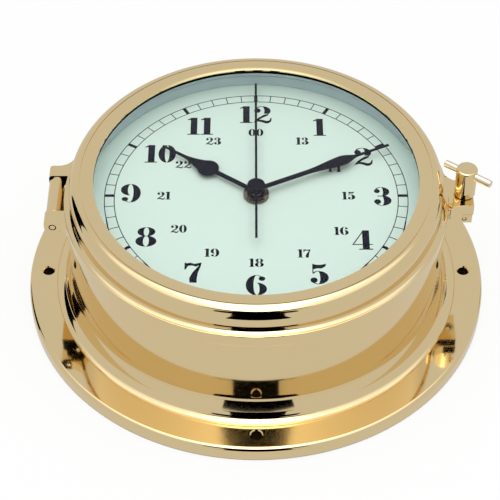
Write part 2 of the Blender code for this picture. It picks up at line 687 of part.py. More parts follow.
def knuckle_outline():
    """Section of a knuckle in X and Z: round below, with a flat top and a rounded outer corner."""
    corner = (HINGE_X - KNUCKLE_RADIUS + KNUCKLE_CORNER, HINGE_Z + KNUCKLE_RADIUS - KNUCKLE_CORNER)
    below = arc((HINGE_X, HINGE_Z), KNUCKLE_RADIUS, 0, -180, 2 * ARC_STEPS)
    return below + arc(corner, KNUCKLE_CORNER, 180, 90) + [(HINGE_X, HINGE_Z + KNUCKLE_RADIUS)]


def make_bezel():
    metal = brass("bezel brass")
    ring = lathe("bezel_ring", bezel_profile(), metal, RING_STEPS)
    root = (SKIRT_RADIUS + SKIRT_BORE) / 2
    flank = SKIRT_RADIUS - GAP

    outline = [(-x, y) for x, y in ear_outline(flank, -HINGE_X, HINGE_HALF, EAR_FILLET)]
    knuckles = flat_solid("hinge_ear", [outline], BEZEL_BOTTOM, HINGE_Z + KNUCKLE_RADIUS, metal)
    knuckle = flat_solid("hinge_knuckle", [knuckle_outline()], -HINGE_HALF, HINGE_HALF, metal)
    knuckle.rotation_euler.x = math.pi / 2
    slot_half = HINGE_HALF - KNUCKLE_WIDTH
    slot = box("knuckle_slot", (HINGE_X - SLOT_BEYOND, -slot_half, CASE_HEIGHT - KNUCKLE_RADIUS),
               (-SKIRT_BORE, slot_half, BEZEL_TOP), metal)
    join(knuckles, knuckle)
    cut(knuckles, slot)
    cut(knuckles, disc("hinge_ear_bore", root, BEZEL_BOTTOM - GAP, BEZEL_TOP, metal, RING_STEPS))
    join(ring, knuckles)
    end = HINGE_HALF + GAP
    cut(ring, rod("knuckle_bore", PIN_RADIUS + RUNNING_GAP, (HINGE_X, -end, HINGE_Z),
                  (HINGE_X, end, HINGE_Z), metal, PIECE_STEPS))

    outline = ear_outline(flank, EAR_X, EAR_HALF, EAR_FILLET)
    ear = flat_solid("latch_ear", [outline], BEZEL_BOTTOM, EAR_TOP, metal)
    cut(ear, disc("latch_ear_bore", root, BEZEL_BOTTOM - GAP, BEZEL_TOP, metal, RING_STEPS))
    join(ring, ear)
    shank_hole = disc("shank_hole", SCREW_RADIUS + RUNNING_GAP, BEZEL_BOTTOM - GAP, EAR_TOP + GAP, metal,
                      SMALL_STEPS)
    clip_hole = disc("clip_hole", CLIP_RADIUS + RUNNING_GAP, BEZEL_BOTTOM - GAP, COUNTERBORE_TOP, metal,
                     SMALL_STEPS)
    for hole in (shank_hole, clip_hole):
        hole.location.x = LATCH_X
        hole.rotation_euler.z = HALF_FACET
        cut(ring, hole)
    return ring


def make_glass():
    flat_radius = OPENING_RADIUS - GLASS_EDGE_SHOW
    profile = [(0, GLASS_TOP), (flat_radius, GLASS_TOP), (flat_radius + GLASS_BEVEL, GLASS_RIM_TOP),
               (GLASS_RADIUS, GLASS_RIM_TOP), (GLASS_RADIUS, GLASS_BOTTOM), (0, GLASS_BOTTOM)]
    clear = finish("glass", (0.95, 0.97, 0.96), 0, 0.02)
    silicone = finish("seal silicone", (0.70, 0.74, 0.73), 0, 0.6)
    glass = lathe("glass", profile, clear, RING_STEPS)
    seal_inner = flat_radius + GLASS_BEVEL
    seal = tube("glass_seal", GLASS_RADIUS, seal_inner, GLASS_RIM_TOP + GAP, BEZEL_LIP_BOTTOM - GAP, silicone,
                HIDDEN_RING_STEPS)
    ring = tube("glass_ring", GLASS_RADIUS, DIAL_RING_RADIUS - DIAL_RING_WALL, GLASS_RING_BOTTOM,
                GLASS_RING_TOP, white_plastic("glass ring white"), HIDDEN_RING_STEPS)
    return [glass, seal, ring]


def make_latch():
    """Captive screw with its cross bar, and the clip in its groove that keeps it in the ear."""
    metal = brass("latch brass")
    groove_top = CLIP_BOTTOM + CLIP_THICKNESS + RUNNING_GAP
    groove_bottom = CLIP_BOTTOM - RUNNING_GAP
    groove_radius = SCREW_RADIUS - GROOVE_DEPTH
    profile = [(0, HEAD_TOP)]
    profile += arc((HEAD_RADIUS - HEAD_ROUND, HEAD_TOP - HEAD_ROUND), HEAD_ROUND, 90, 0, 3)
    profile += [(HEAD_RADIUS, HEAD_BOTTOM), (SCREW_RADIUS, HEAD_BOTTOM), (SCREW_RADIUS, groove_top),
                (groove_radius, groove_top), (groove_radius, groove_bottom), (SCREW_RADIUS, groove_bottom),
                (SCREW_RADIUS, SCREW_TIP + SCREW_CHAMFER), (SCREW_RADIUS - SCREW_CHAMFER, SCREW_TIP),
                (0, SCREW_TIP)]
    screw = lathe("latch_screw", profile, metal)
    screw.location.x = LATCH_X
    bar_z = HEAD_TOP - BAR_DROP
    aim = Vector((math.cos(BAR_TURN), math.sin(BAR_TURN), 0))
    middle = Vector((LATCH_X, 0, bar_z))
    hole = rod("bar_hole", BAR_RADIUS + RUNNING_GAP, middle - aim * BAR_HALF, middle + aim * BAR_HALF, metal)
    cut(screw, hole)
    bar_end = BAR_HALF - BAR_CHAMFER
    bar_profile = [(0, BAR_HALF), (BAR_RADIUS - BAR_CHAMFER, BAR_HALF), (BAR_RADIUS, bar_end),
                   (BAR_RADIUS, -bar_end), (BAR_RADIUS - BAR_CHAMFER, -BAR_HALF), (0, -BAR_HALF)]
    bar = lathe("latch_bar", bar_profile, brass("latch bar brass"), SMALL_STEPS)
    bar.location = middle + aim * BAR_SHIFT
    bar.rotation_euler = aim.to_track_quat("Z", "Y").to_euler()
    clip = tube("latch_clip", CLIP_RADIUS, groove_radius + RUNNING_GAP, CLIP_BOTTOM,
                CLIP_BOTTOM + CLIP_THICKNESS, steel("clip steel"), SMALL_STEPS)
    clip.location.x = LATCH_X
    return [screw, bar, clip]


# Movement


def layer(depth):
    """Height of a layer given by its depth under the front wall."""
    return FRONT_INNER - depth


def make_housing():
    plastic = black_plastic("housing black")
    half = HOUSING_SIDE / 2
    inner = HOUSING_INNER
    front = box("movement_front", (-half, -half, COVER_TOP + GAP), (half, half, HOUSING_FRONT), plastic)
    rooms = {
        "train_room": ((-inner, BAY_Y + BAY_WALL, HOUSING_BACK), (inner, inner, FRONT_INNER)),
        "battery_room": ((-inner, -inner, HOUSING_BACK), (inner, BAY_Y, FRONT_INNER)),
    }
    for name, (low, high) in rooms.items():
        cut(front, box(name, low, high, plastic))
    middle = FRONT_INNER + FRONT_WALL / 2
    for index, (x, y) in enumerate(post_places()):
        post = disc(f"post_{index + 1}", POST_RADIUS, layer(BRIDGE_LAYER) + GAP, middle, plastic, SMALL_STEPS)
        post.location = (x, y, 0)
        join(front, post)
    neck_top = DIAL_TOP + NECK_RISE
    neck = disc("neck", NECK_RADIUS, middle, neck_top, plastic)
    join(front, neck)
    neck_bore = disc("neck_bore", HOUR_PIPE_RADIUS + PIPE_GAP, FRONT_INNER - GAP, neck_top + GAP, plastic)
    cut(front, neck_bore)
    front_pivots = {"third": (THIRD_AXIS, ARBOR_RADIUS), "motion": (MOTION_AXIS, MOTION_ARBOR_RADIUS)}
    for name, (axis, radius) in front_pivots.items():
        pivot = disc(f"{name}_front_pivot", radius + RUNNING_GAP, FRONT_INNER - GAP,
                     FRONT_INNER + PIVOT_DEPTH, plastic, SMALL_STEPS)
        cut(front, place_on(pivot, axis))

    back = box("movement_back", (-half, BAY_Y, HOUSING_BACK), (half, half, COVER_TOP),
               black_plastic("cover black"))
    back_pivots = {"second": CENTRE_AXIS, "third": THIRD_AXIS, "step": STEP_AXIS, "rotor": ROTOR_AXIS}
    for name, axis in back_pivots.items():
        pivot = disc(f"{name}_back_pivot", ARBOR_RADIUS + RUNNING_GAP, COVER_TOP - PIVOT_DEPTH,
                     COVER_TOP + GAP, plastic, SMALL_STEPS)
        cut(back, place_on(pivot, axis))
    knob_hole = disc("knob_hole", MOTION_ARBOR_RADIUS + PIPE_GAP, HOUSING_BACK - GAP, COVER_TOP + GAP,
                     plastic, SMALL_STEPS)
    cut(back, place_on(knob_hole, MOTION_AXIS))

    nut_bottom = DIAL_TOP + GAP
    nut_top = nut_bottom + DIAL_NUT_HEIGHT
    tube("dial_nut", DIAL_NUT_RADIUS, NECK_RADIUS + RUNNING_GAP, nut_bottom, nut_top,
         black_paint("nut black"))


def post_places():
    """Posts that carry the train's bridge."""
    x = BRIDGE_HALF - POST_INSET
    top = BRIDGE_TOP - POST_INSET
    bottom = BAY_Y + BAY_WALL + GAP + POST_INSET
    return [(-x, top), (x, top), (-x, bottom), (x, bottom)]


def make_bridge():
    """Plate between the train and the hands' wheels, with a pivot for each arbor that crosses it."""
    metal = brass("bridge brass")
    x = BRIDGE_HALF
    bottom = BAY_Y + BAY_WALL + GAP
    outline = [(-x, bottom), (x, bottom), (x, BRIDGE_TOP), (-x, BRIDGE_TOP)]
    third_pinion_tip = gear_radius(THIRD_LEAVES, centre_module()) + GAP
    holes = [circle(ARBOR_RADIUS + PIPE_GAP, SMALL_STEPS),
             circle(third_pinion_tip, SMALL_STEPS, THIRD_AXIS[:2]),
             circle(MOTION_ARBOR_RADIUS + GAP, SMALL_STEPS, MOTION_AXIS[:2]),
             circle(ARBOR_RADIUS + RUNNING_GAP, SMALL_STEPS, STEP_AXIS[:2]),
             circle(ARBOR_RADIUS + RUNNING_GAP, SMALL_STEPS, ROTOR_AXIS[:2])]
    flat_solid("train_bridge", [outline] + holes, layer(BRIDGE_LAYER + BRIDGE_THICKNESS),
               layer(BRIDGE_LAYER), metal)


def make_drive():
    """Stator round the rotor, and the coil between its arms."""
    hole_radius = MAGNET_RADIUS + STATOR_GAP
    pole = hole_radius + STATOR_POLE
    left = ROTOR_AXIS.x - pole
    right = ROTOR_AXIS.x + pole
    coil_right = right - STATOR_ARM - GAP
    coil_left = coil_right - COIL_LENGTH
    arm_right = coil_left - GAP
    elbow_top = COIL_Y - COIL_RADIUS - ELBOW_SPACE
    arm_top = COIL_Y + COIL_RADIUS
    outline = [(left, -pole), (right, -pole), (right, arm_top), (right - STATOR_ARM, arm_top),
               (right - STATOR_ARM, pole), (left + STATOR_ARM, pole), (left + STATOR_ARM, elbow_top),
               (arm_right, elbow_top), (arm_right, arm_top), (arm_right - STATOR_ARM, arm_top),
               (arm_right - STATOR_ARM, elbow_top - STATOR_ARM), (left, elbow_top - STATOR_ARM)]
    bottom = layer(STATOR_LAYER + STATOR_THICKNESS)
    rotor_hole = circle(hole_radius, PIECE_STEPS, ROTOR_AXIS[:2])
    flat_solid("stator", [outline, rotor_hole], bottom, layer(STATOR_LAYER), steel("stator steel"))

    wound = COIL_RADIUS - WINDING_DEPTH
    end = COIL_LENGTH / 2
    profile = [(0, end), (COIL_RADIUS, end), (COIL_RADIUS, end - COIL_CHEEK), (wound, end - COIL_CHEEK),
               (wound, COIL_CHEEK - end), (COIL_RADIUS, COIL_CHEEK - end), (COIL_RADIUS, -end), (0, -end)]
    coil = lathe("coil", profile, finish("coil copper", (0.75, 0.33, 0.16), 1, 0.35), SMALL_STEPS)
    coil.rotation_euler = (0, math.pi / 2, 0)
    coil.location = ((coil_left + coil_right) / 2, COIL_Y, bottom + STATOR_THICKNESS / 2)


def make_board():
    """Circuit board in the housing's corner, with the crystal's can lying on it."""
    corner = Vector((GAP - HOUSING_INNER, HOUSING_INNER - GAP, COVER_TOP + GAP))
    far = corner + Vector((BOARD_WIDTH, -BOARD_LENGTH, BOARD_THICKNESS))
    box("circuit_board", (corner.x, far.y, corner.z), (far.x, corner.y, far.z),
        finish("board green", (0.02, 0.18, 0.07), 0, 0.5))
    middle = (corner + far) / 2
    can_z = far.z + GAP + CRYSTAL_RADIUS
    rod("crystal_can", CRYSTAL_RADIUS, (middle.x - CRYSTAL_LENGTH / 2, middle.y, can_z),
        (middle.x + CRYSTAL_LENGTH / 2, middle.y, can_z), steel("crystal steel"))


def make_battery():
    """Cell in its bay, between the dimpled contact and the flat one."""
    minus_x = GAP - HOUSING_INNER
    plus_x = HOUSING_INNER - GAP
    start = minus_x + CONTACT_THICKNESS + CONTACT_DIMPLE + GAP
    end = start + BATTERY_LENGTH
    tip = end + BATTERY_NUB_LENGTH
    profile = [(0, tip), (BATTERY_NUB_RADIUS, tip), (BATTERY_NUB_RADIUS, end), (BATTERY_RADIUS, end),
               (BATTERY_RADIUS, start), (0, start)]
    battery = lathe("battery", profile, finish("battery jacket", (0.25, 0.27, 0.3), 0.4, 0.35))
    battery.rotation_euler = (0, math.pi / 2, 0)
    battery.location = (0, BATTERY_Y, BATTERY_Z)
    reach = CONTACT_HEIGHT / 2
    minus = box("contact_minus", (minus_x, BATTERY_Y - reach, BATTERY_Z - reach),
                (minus_x + CONTACT_THICKNESS, BATTERY_Y + reach, BATTERY_Z + reach),
                steel("minus contact steel"))
    dimple = rod("minus_dimple", BATTERY_NUB_RADIUS, (minus_x + CONTACT_THICKNESS / 2, BATTERY_Y, BATTERY_Z),
                 (start - GAP, BATTERY_Y, BATTERY_Z), minus.data.materials[0])
    join(minus, dimple)
    box("contact_plus", (plus_x - CONTACT_THICKNESS, BATTERY_Y - reach, BATTERY_Z - reach),
        (plus_x, BATTERY_Y + reach, BATTERY_Z + reach), steel("plus contact steel"))


def gear_radius(teeth, module):
    """Tip radius of a wheel."""
    return module * (teeth / 2 + ADDENDUM)


def gear_outline(teeth, module):
    """Wheel with straight-sided teeth, the first of them on +X."""
    tip = gear_radius(teeth, module)
    root = module * (teeth / 2 - DEDENDUM)
    pitch = 2 * math.pi / teeth
    outline = []
    for index in range(teeth):
        for radius, share in ((root, -TOOTH_ROOT), (tip, -TOOTH_TIP), (tip, TOOTH_TIP), (root, TOOTH_ROOT)):
            turn = pitch * (index + share / 2)
            outline.append((radius * math.cos(turn), radius * math.sin(turn)))
    return outline


def pair_module(distance, first, second):
    """Module of two wheels that mesh at a centre distance."""
    return 2 * distance / (first + second)


def centre_module():
    return pair_module(THIRD_DISTANCE, THIRD_LEAVES, CENTRE_TEETH)


def meshing_turn(turn, teeth, other_teeth, direction):
    """Turn of a second wheel that lies along a direction, so that its gap meets the first one's tooth."""
    pitch = 2 * math.pi / teeth
    share = ((direction - turn) / pitch) % 1
    return direction + math.pi + (share + 0.5) * 2 * math.pi / other_teeth


def toothed(name, teeth, module, depth, thickness, material, bore=0.0):
    """Flat toothed wheel or pinion at a depth under the front wall."""
    outlines = [gear_outline(teeth, module)]
    if bore:
        outlines.append(circle(bore, SMALL_STEPS))
    return flat_solid(name, outlines, layer(depth + thickness), layer(depth), material)


def wheel_and_pinion(name, parts, arbor_radius, top, bottom, material):
    """One solid: an arbor with its wheel and pinion, each part being teeth, module, depth and thickness."""
    wheel = disc(name, arbor_radius, bottom, top, material, SMALL_STEPS)
    for index, (teeth, module, depth, thickness) in enumerate(parts):
        join(wheel, toothed(f"{name}_teeth_{index + 1}", teeth, module, depth, thickness, material))
    return wheel


def make_train():
    """Wheels from the rotor to the centre wheel, in mesh."""
    plastic = white_plastic
    back_pivot = COVER_TOP - PIVOT_DEPTH + RUNNING_GAP
    bridge_pivot = layer(BRIDGE_LAYER) - RUNNING_GAP
    front_pivot = FRONT_INNER + PIVOT_DEPTH - RUNNING_GAP
    rotor_module = pair_module(ROTOR_DISTANCE, ROTOR_LEAVES, STEP_TEETH)
    step_module = pair_module(STEP_DISTANCE, STEP_LEAVES, SECOND_TEETH)
    second_module = pair_module(THIRD_DISTANCE, SECOND_LEAVES, THIRD_TEETH)
    third_module = centre_module()

    second = wheel_and_pinion("second_wheel", [
        (SECOND_TEETH, step_module, SECOND_LAYER, WHEEL_THICKNESS),
        (SECOND_LEAVES, second_module, SECOND_PINION_LAYER, SECOND_LAYER - SECOND_PINION_LAYER + GAP),
    ], ARBOR_RADIUS, DIAL_TOP + ARBOR_TOP, back_pivot, plastic("second wheel plastic"))
    place_on(second, CENTRE_AXIS)

    step_turn = meshing_turn(0, SECOND_TEETH, STEP_LEAVES, 0)
    step = wheel_and_pinion("step_wheel", [
        (STEP_LEAVES, step_module, STEP_PINION_LAYER, STEP_LAYER - STEP_PINION_LAYER + GAP),
        (STEP_TEETH, rotor_module, STEP_LAYER, WHEEL_THICKNESS),
    ], ARBOR_RADIUS, bridge_pivot, back_pivot, plastic("step wheel plastic"))
    place_on(step, STEP_AXIS, step_turn)

    rotor_turn = meshing_turn(step_turn, STEP_TEETH, ROTOR_LEAVES, 0)
    rotor_pinion_height = STEP_LAYER - ROTOR_PINION_LAYER + WHEEL_THICKNESS + GAP
    rotor = wheel_and_pinion("rotor", [
        (ROTOR_LEAVES, rotor_module, ROTOR_PINION_LAYER, rotor_pinion_height),
    ], ARBOR_RADIUS, bridge_pivot, back_pivot, finish("rotor magnet", (0.12, 0.12, 0.13), 0.6, 0.4))
    magnet = disc("rotor_magnet", MAGNET_RADIUS, layer(MAGNET_LAYER + MAGNET_HEIGHT), layer(MAGNET_LAYER),
                  rotor.data.materials[0], SMALL_STEPS)
    join(rotor, magnet)
    place_on(rotor, ROTOR_AXIS, rotor_turn)

    third_turn = meshing_turn(0, SECOND_LEAVES, THIRD_TEETH, math.pi)
    pinion_top = CENTRE_LAYER - GAP
    third = wheel_and_pinion("third_wheel", [
        (THIRD_LEAVES, third_module, pinion_top, THIRD_LAYER - pinion_top + GAP),
        (THIRD_TEETH, second_module, THIRD_LAYER, WHEEL_THICKNESS),
    ], ARBOR_RADIUS, front_pivot, back_pivot, plastic("third wheel plastic"))
    place_on(third, THIRD_AXIS, third_turn)

    centre_turn = meshing_turn(third_turn, THIRD_LEAVES, CENTRE_TEETH, 0)
    centre = toothed("centre_wheel", CENTRE_TEETH, third_module, CENTRE_LAYER, CENTRE_THICKNESS,
                     brass("centre wheel brass"), MINUTE_PIPE_RADIUS + RUNNING_GAP)
    place_on(centre, CENTRE_AXIS, centre_turn)


def make_motion_work():
    """Minute pipe, motion wheel with the setting knob, and hour wheel, in mesh."""
    minute_module = pair_module(MOTION_DISTANCE, MINUTE_LEAVES, MOTION_TEETH)
    hour_module = pair_module(MOTION_DISTANCE, MOTION_LEAVES, HOUR_TEETH)
    bore = ARBOR_RADIUS + PIPE_GAP

    metal = brass("minute pipe brass")
    minute = tube("minute_pipe", MINUTE_PIPE_RADIUS, bore, layer(MINUTE_FOOT), DIAL_TOP + MINUTE_PIPE_TOP,
                  metal)
    join(minute, toothed("minute_leaves", MINUTE_LEAVES, minute_module, MOTION_LAYER, MOTION_THICKNESS, metal,
                         (bore + MINUTE_PIPE_RADIUS) / 2))

    motion_turn = meshing_turn(0, MINUTE_LEAVES, MOTION_TEETH, math.pi / 2)
    knob_top = HOUSING_BACK - GAP
    arbor_end = knob_top - KNOB_HEIGHT / 2
    motion = wheel_and_pinion("motion_wheel", [
        (MOTION_TEETH, minute_module, MOTION_LAYER, MOTION_THICKNESS),
        (MOTION_LEAVES, hour_module, HOUR_LAYER, MOTION_LAYER - HOUR_LAYER + MOTION_THICKNESS / 2),
    ], MOTION_ARBOR_RADIUS, FRONT_INNER + PIVOT_DEPTH - RUNNING_GAP, arbor_end,
        white_plastic("motion plastic"))
    place_on(motion, MOTION_AXIS, motion_turn)

    socket = MOTION_ARBOR_RADIUS + RUNNING_GAP
    profile = [(socket, knob_top), (KNOB_RADIUS - KNOB_CHAMFER, knob_top),
               (KNOB_RADIUS, knob_top - KNOB_CHAMFER), (KNOB_RADIUS, knob_top - KNOB_HEIGHT),
               (socket, knob_top - KNOB_HEIGHT)]
    knob = lathe("setting_knob", profile, black_paint("knob black"))
    place_on(knob, MOTION_AXIS)

    hour_turn = meshing_turn(motion_turn, MOTION_LEAVES, HOUR_TEETH, -math.pi / 2)
    inner = MINUTE_PIPE_RADIUS + PIPE_GAP
    plastic = white_plastic("hour wheel plastic")
    hour = tube("hour_wheel", HOUR_PIPE_RADIUS, inner, layer(HOUR_LAYER + HOUR_THICKNESS),
                DIAL_TOP + HOUR_PIPE_TOP, plastic)
    join(hour, toothed("hour_teeth", HOUR_TEETH, hour_module, HOUR_LAYER, HOUR_THICKNESS, plastic,
                       (inner + HOUR_PIPE_RADIUS) / 2))
    place_on(hour, CENTRE_AXIS, hour_turn)


# Hands


def hand_outline(stations):
    """Outline along +Y from (distance, half width) pairs that start at the boss."""
    right = [(half, along) for along, half in stations]
    left = [(-half, along) for along, half in reversed(stations)]
    return right + left


def pear_stations():
    """Hour hand: plain shaft, round pear, then a long taper to the tip."""
    entry = math.sqrt(PEAR_RADIUS ** 2 - HOUR_SHAFT_HALF ** 2)
    stations = [(0, HOUR_SHAFT_HALF), (PEAR_CENTRE - entry, HOUR_SHAFT_HALF)]
    for degrees in (150, 125, 100, 75, 50):
        turn = math.radians(degrees)
        stations.append((PEAR_CENTRE + PEAR_RADIUS * math.cos(turn), PEAR_RADIUS * math.sin(turn)))
    start, wide = stations[-1]
    for share in (0.25, 0.5, 0.75, 1.0):
        fall = (1 - share) ** PEAR_HOLLOW
        stations.append((start + PEAR_TAPER * share, PEAR_NECK_HALF + (wide - PEAR_NECK_HALF) * fall))
    stations.append((HOUR_HAND_LENGTH, HOUR_TIP_HALF))
    return stations


def leaf_stations():
    """Minute hand: shaft that swells to a leaf and narrows to a long thin tip."""
    stations = [(0, MINUTE_SHAFT_HALF)]
    for share in (0, 0.25, 0.5, 0.75, 1):
        stations.append((LEAF_START + (LEAF_WIDEST - LEAF_START) * share,
                         MINUTE_SHAFT_HALF + (LEAF_HALF - MINUTE_SHAFT_HALF) * ease(share)))
    for share in (0.35, 0.7, 1):
        stations.append((LEAF_WIDEST + (LEAF_END - LEAF_WIDEST) * share,
                         MINUTE_TIP_HALF + (LEAF_HALF - MINUTE_TIP_HALF) * (1 - ease(share))))
    stations.append((MINUTE_HAND_LENGTH, MINUTE_TIP_HALF))
    return stations


def make_hand(name, stations, boss_radius, bore, rise, clockwise, clearance):
    """Flat hand with a round boss, turned to where it points."""
    paint = black_paint(f"{name} black")
    bottom = DIAL_TOP + rise
    top = bottom + HAND_THICKNESS
    hand = flat_solid(name, [hand_outline(stations)], bottom, top, paint)
    boss = disc(f"{name}_boss", boss_radius, bottom, top, paint)
    hole = disc(f"{name}_hole", bore + clearance, bottom - GAP, top + GAP, paint)
    join(hand, boss)
    cut(hand, hole)
    return place_on(hand, CENTRE_AXIS, -math.radians(clockwise))


def make_hands():
    make_hand("hour_hand", pear_stations(), HOUR_BOSS_RADIUS, HOUR_PIPE_RADIUS, HOUR_HAND_RISE, HOUR_ANGLE,
              RUNNING_GAP)
    make_hand("minute_hand", leaf_stations(), MINUTE_BOSS_RADIUS, MINUTE_PIPE_RADIUS, MINUTE_HAND_RISE,
              MINUTE_ANGLE, RUNNING_GAP)
    needle = [(-SECOND_TAIL, SECOND_HALF), (SECOND_HAND_LENGTH, SECOND_HALF)]
    make_hand("second_hand", needle, SECOND_BOSS_RADIUS, ARBOR_RADIUS, SECOND_HAND_RISE, 0, RUNNING_GAP)
    bottom = DIAL_TOP + CAP_RISE
    top = bottom + CAP_HEIGHT
    socket = ARBOR_RADIUS + RUNNING_GAP
    socket_top = DIAL_TOP + ARBOR_TOP + RUNNING_GAP
    crown_radius = (CAP_RADIUS ** 2 + CAP_CROWN ** 2) / (2 * CAP_CROWN)
    crown = []
    for share in (0, 1 / 3, 2 / 3, 1):
        radius = CAP_RADIUS * share
        crown.append((radius, top - crown_radius + math.sqrt(crown_radius ** 2 - radius ** 2)))
    profile = crown + [(CAP_RADIUS, bottom), (socket, bottom), (socket, socket_top), (0, socket_top)]
    lathe("hub_cap", profile, black_paint("cap black"))


def main():
    make_case()
    make_hinge()
    make_latch_lug()
    make_dial()
    make_housing()
    make_bridge()
    make_drive()
    make_board()
    make_battery()
    make_train()
    make_motion_work()
    make_hands()
    swinging = [make_bezel()] + make_glass()
    latch = make_latch()
    hang_on("bezel_pivot", (HINGE_X, 0, HINGE_Z), swinging)
    hang_on("latch_pivot", (LATCH_X, 0, EAR_TOP), latch)


for old in list(bpy.data.objects):
    bpy.data.objects.remove(old, do_unlink=True)
PARTS = make_collection("marine_clock")
CUTTERS = make_collection("cutters")
main()
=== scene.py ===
"""Dresses the marine clock's frame: polished brass, printed dial, lacquered hands, glass and a studio."""

import math

import bmesh
import bpy
from bpy.props import FloatProperty, FloatVectorProperty, IntProperty, PointerProperty
from mathutils import Matrix, Vector


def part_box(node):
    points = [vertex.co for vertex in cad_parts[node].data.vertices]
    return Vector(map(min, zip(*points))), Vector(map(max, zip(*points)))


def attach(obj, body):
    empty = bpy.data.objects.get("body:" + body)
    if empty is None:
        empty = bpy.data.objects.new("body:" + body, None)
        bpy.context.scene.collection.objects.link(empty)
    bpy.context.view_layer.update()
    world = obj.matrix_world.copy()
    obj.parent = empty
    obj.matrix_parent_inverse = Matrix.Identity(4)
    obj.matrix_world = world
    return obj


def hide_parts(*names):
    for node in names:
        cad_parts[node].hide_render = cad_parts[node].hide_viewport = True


bl_info = {
    "name": "Marine Clock",
    "version": (1, 0, 0),
    "blender": (4, 5, 0),
    "location": "View3D > Sidebar > Clock",
    "description": "Builds the visible pieces, finishes and studio of a flanged brass marine clock",
    "category": "Object",
}

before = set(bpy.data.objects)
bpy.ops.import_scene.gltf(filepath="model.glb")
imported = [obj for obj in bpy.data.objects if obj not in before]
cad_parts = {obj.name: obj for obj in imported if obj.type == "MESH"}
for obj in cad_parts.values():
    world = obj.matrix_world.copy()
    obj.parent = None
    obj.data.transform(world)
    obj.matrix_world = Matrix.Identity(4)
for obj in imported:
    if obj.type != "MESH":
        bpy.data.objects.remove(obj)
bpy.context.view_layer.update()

MM = 0.001
GAP = 0.3 * MM          # kept between pieces that touch or turn in each other
PLAY = 0.1 * MM         # by which a bore is wider than its pin or bush
ARM_ROOT = 76.3 * MM    # hidden end of the hinge's arm, inside the wall's line
SMALL_STEPS = 96        # facets of the small turned pieces

# Places taken from the frame
CASE_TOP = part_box("latch_lug")[1].z
FLANGE_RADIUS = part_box("case_body")[1].x
SPIGOT_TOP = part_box("case_body")[1].z
BEZEL_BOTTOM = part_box("latch_clip")[0].z - GAP
BEZEL_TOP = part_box("bezel_ring")[1].z
SKIRT_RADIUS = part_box("bezel_ring")[1].y
DIAL_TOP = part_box("dial_plate")[1].z
GLASS_LOW, GLASS_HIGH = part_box("glass")
HINGE_LOW, HINGE_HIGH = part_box("hinge_pin")
HINGE_X = (HINGE_LOW.x + HINGE_HIGH.x) / 2
HINGE_Z = (HINGE_LOW.z + HINGE_HIGH.z) / 2
LATCH_LOW, LATCH_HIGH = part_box("latch_screw")
LATCH_X = (LATCH_LOW.x + LATCH_HIGH.x) / 2


# Settings


def length(name, description, millimetres):
    """Size written in millimetres."""
    return FloatProperty(name=name, description=description, default=millimetres * MM, unit="LENGTH")


def angle(name, description, degrees):
    """Angle written in degrees."""
    return FloatProperty(name=name, description=description, default=math.radians(degrees), subtype="ANGLE")


def tint(name, description, *channels):
    """Colour written as red, green and blue."""
    return FloatVectorProperty(name=name, description=description, default=channels, subtype="COLOR")


def brightness(name, description, default):
    """Strength of a glow, where 1 is white."""
    return FloatProperty(name=name, description=description, default=default, min=0.0)


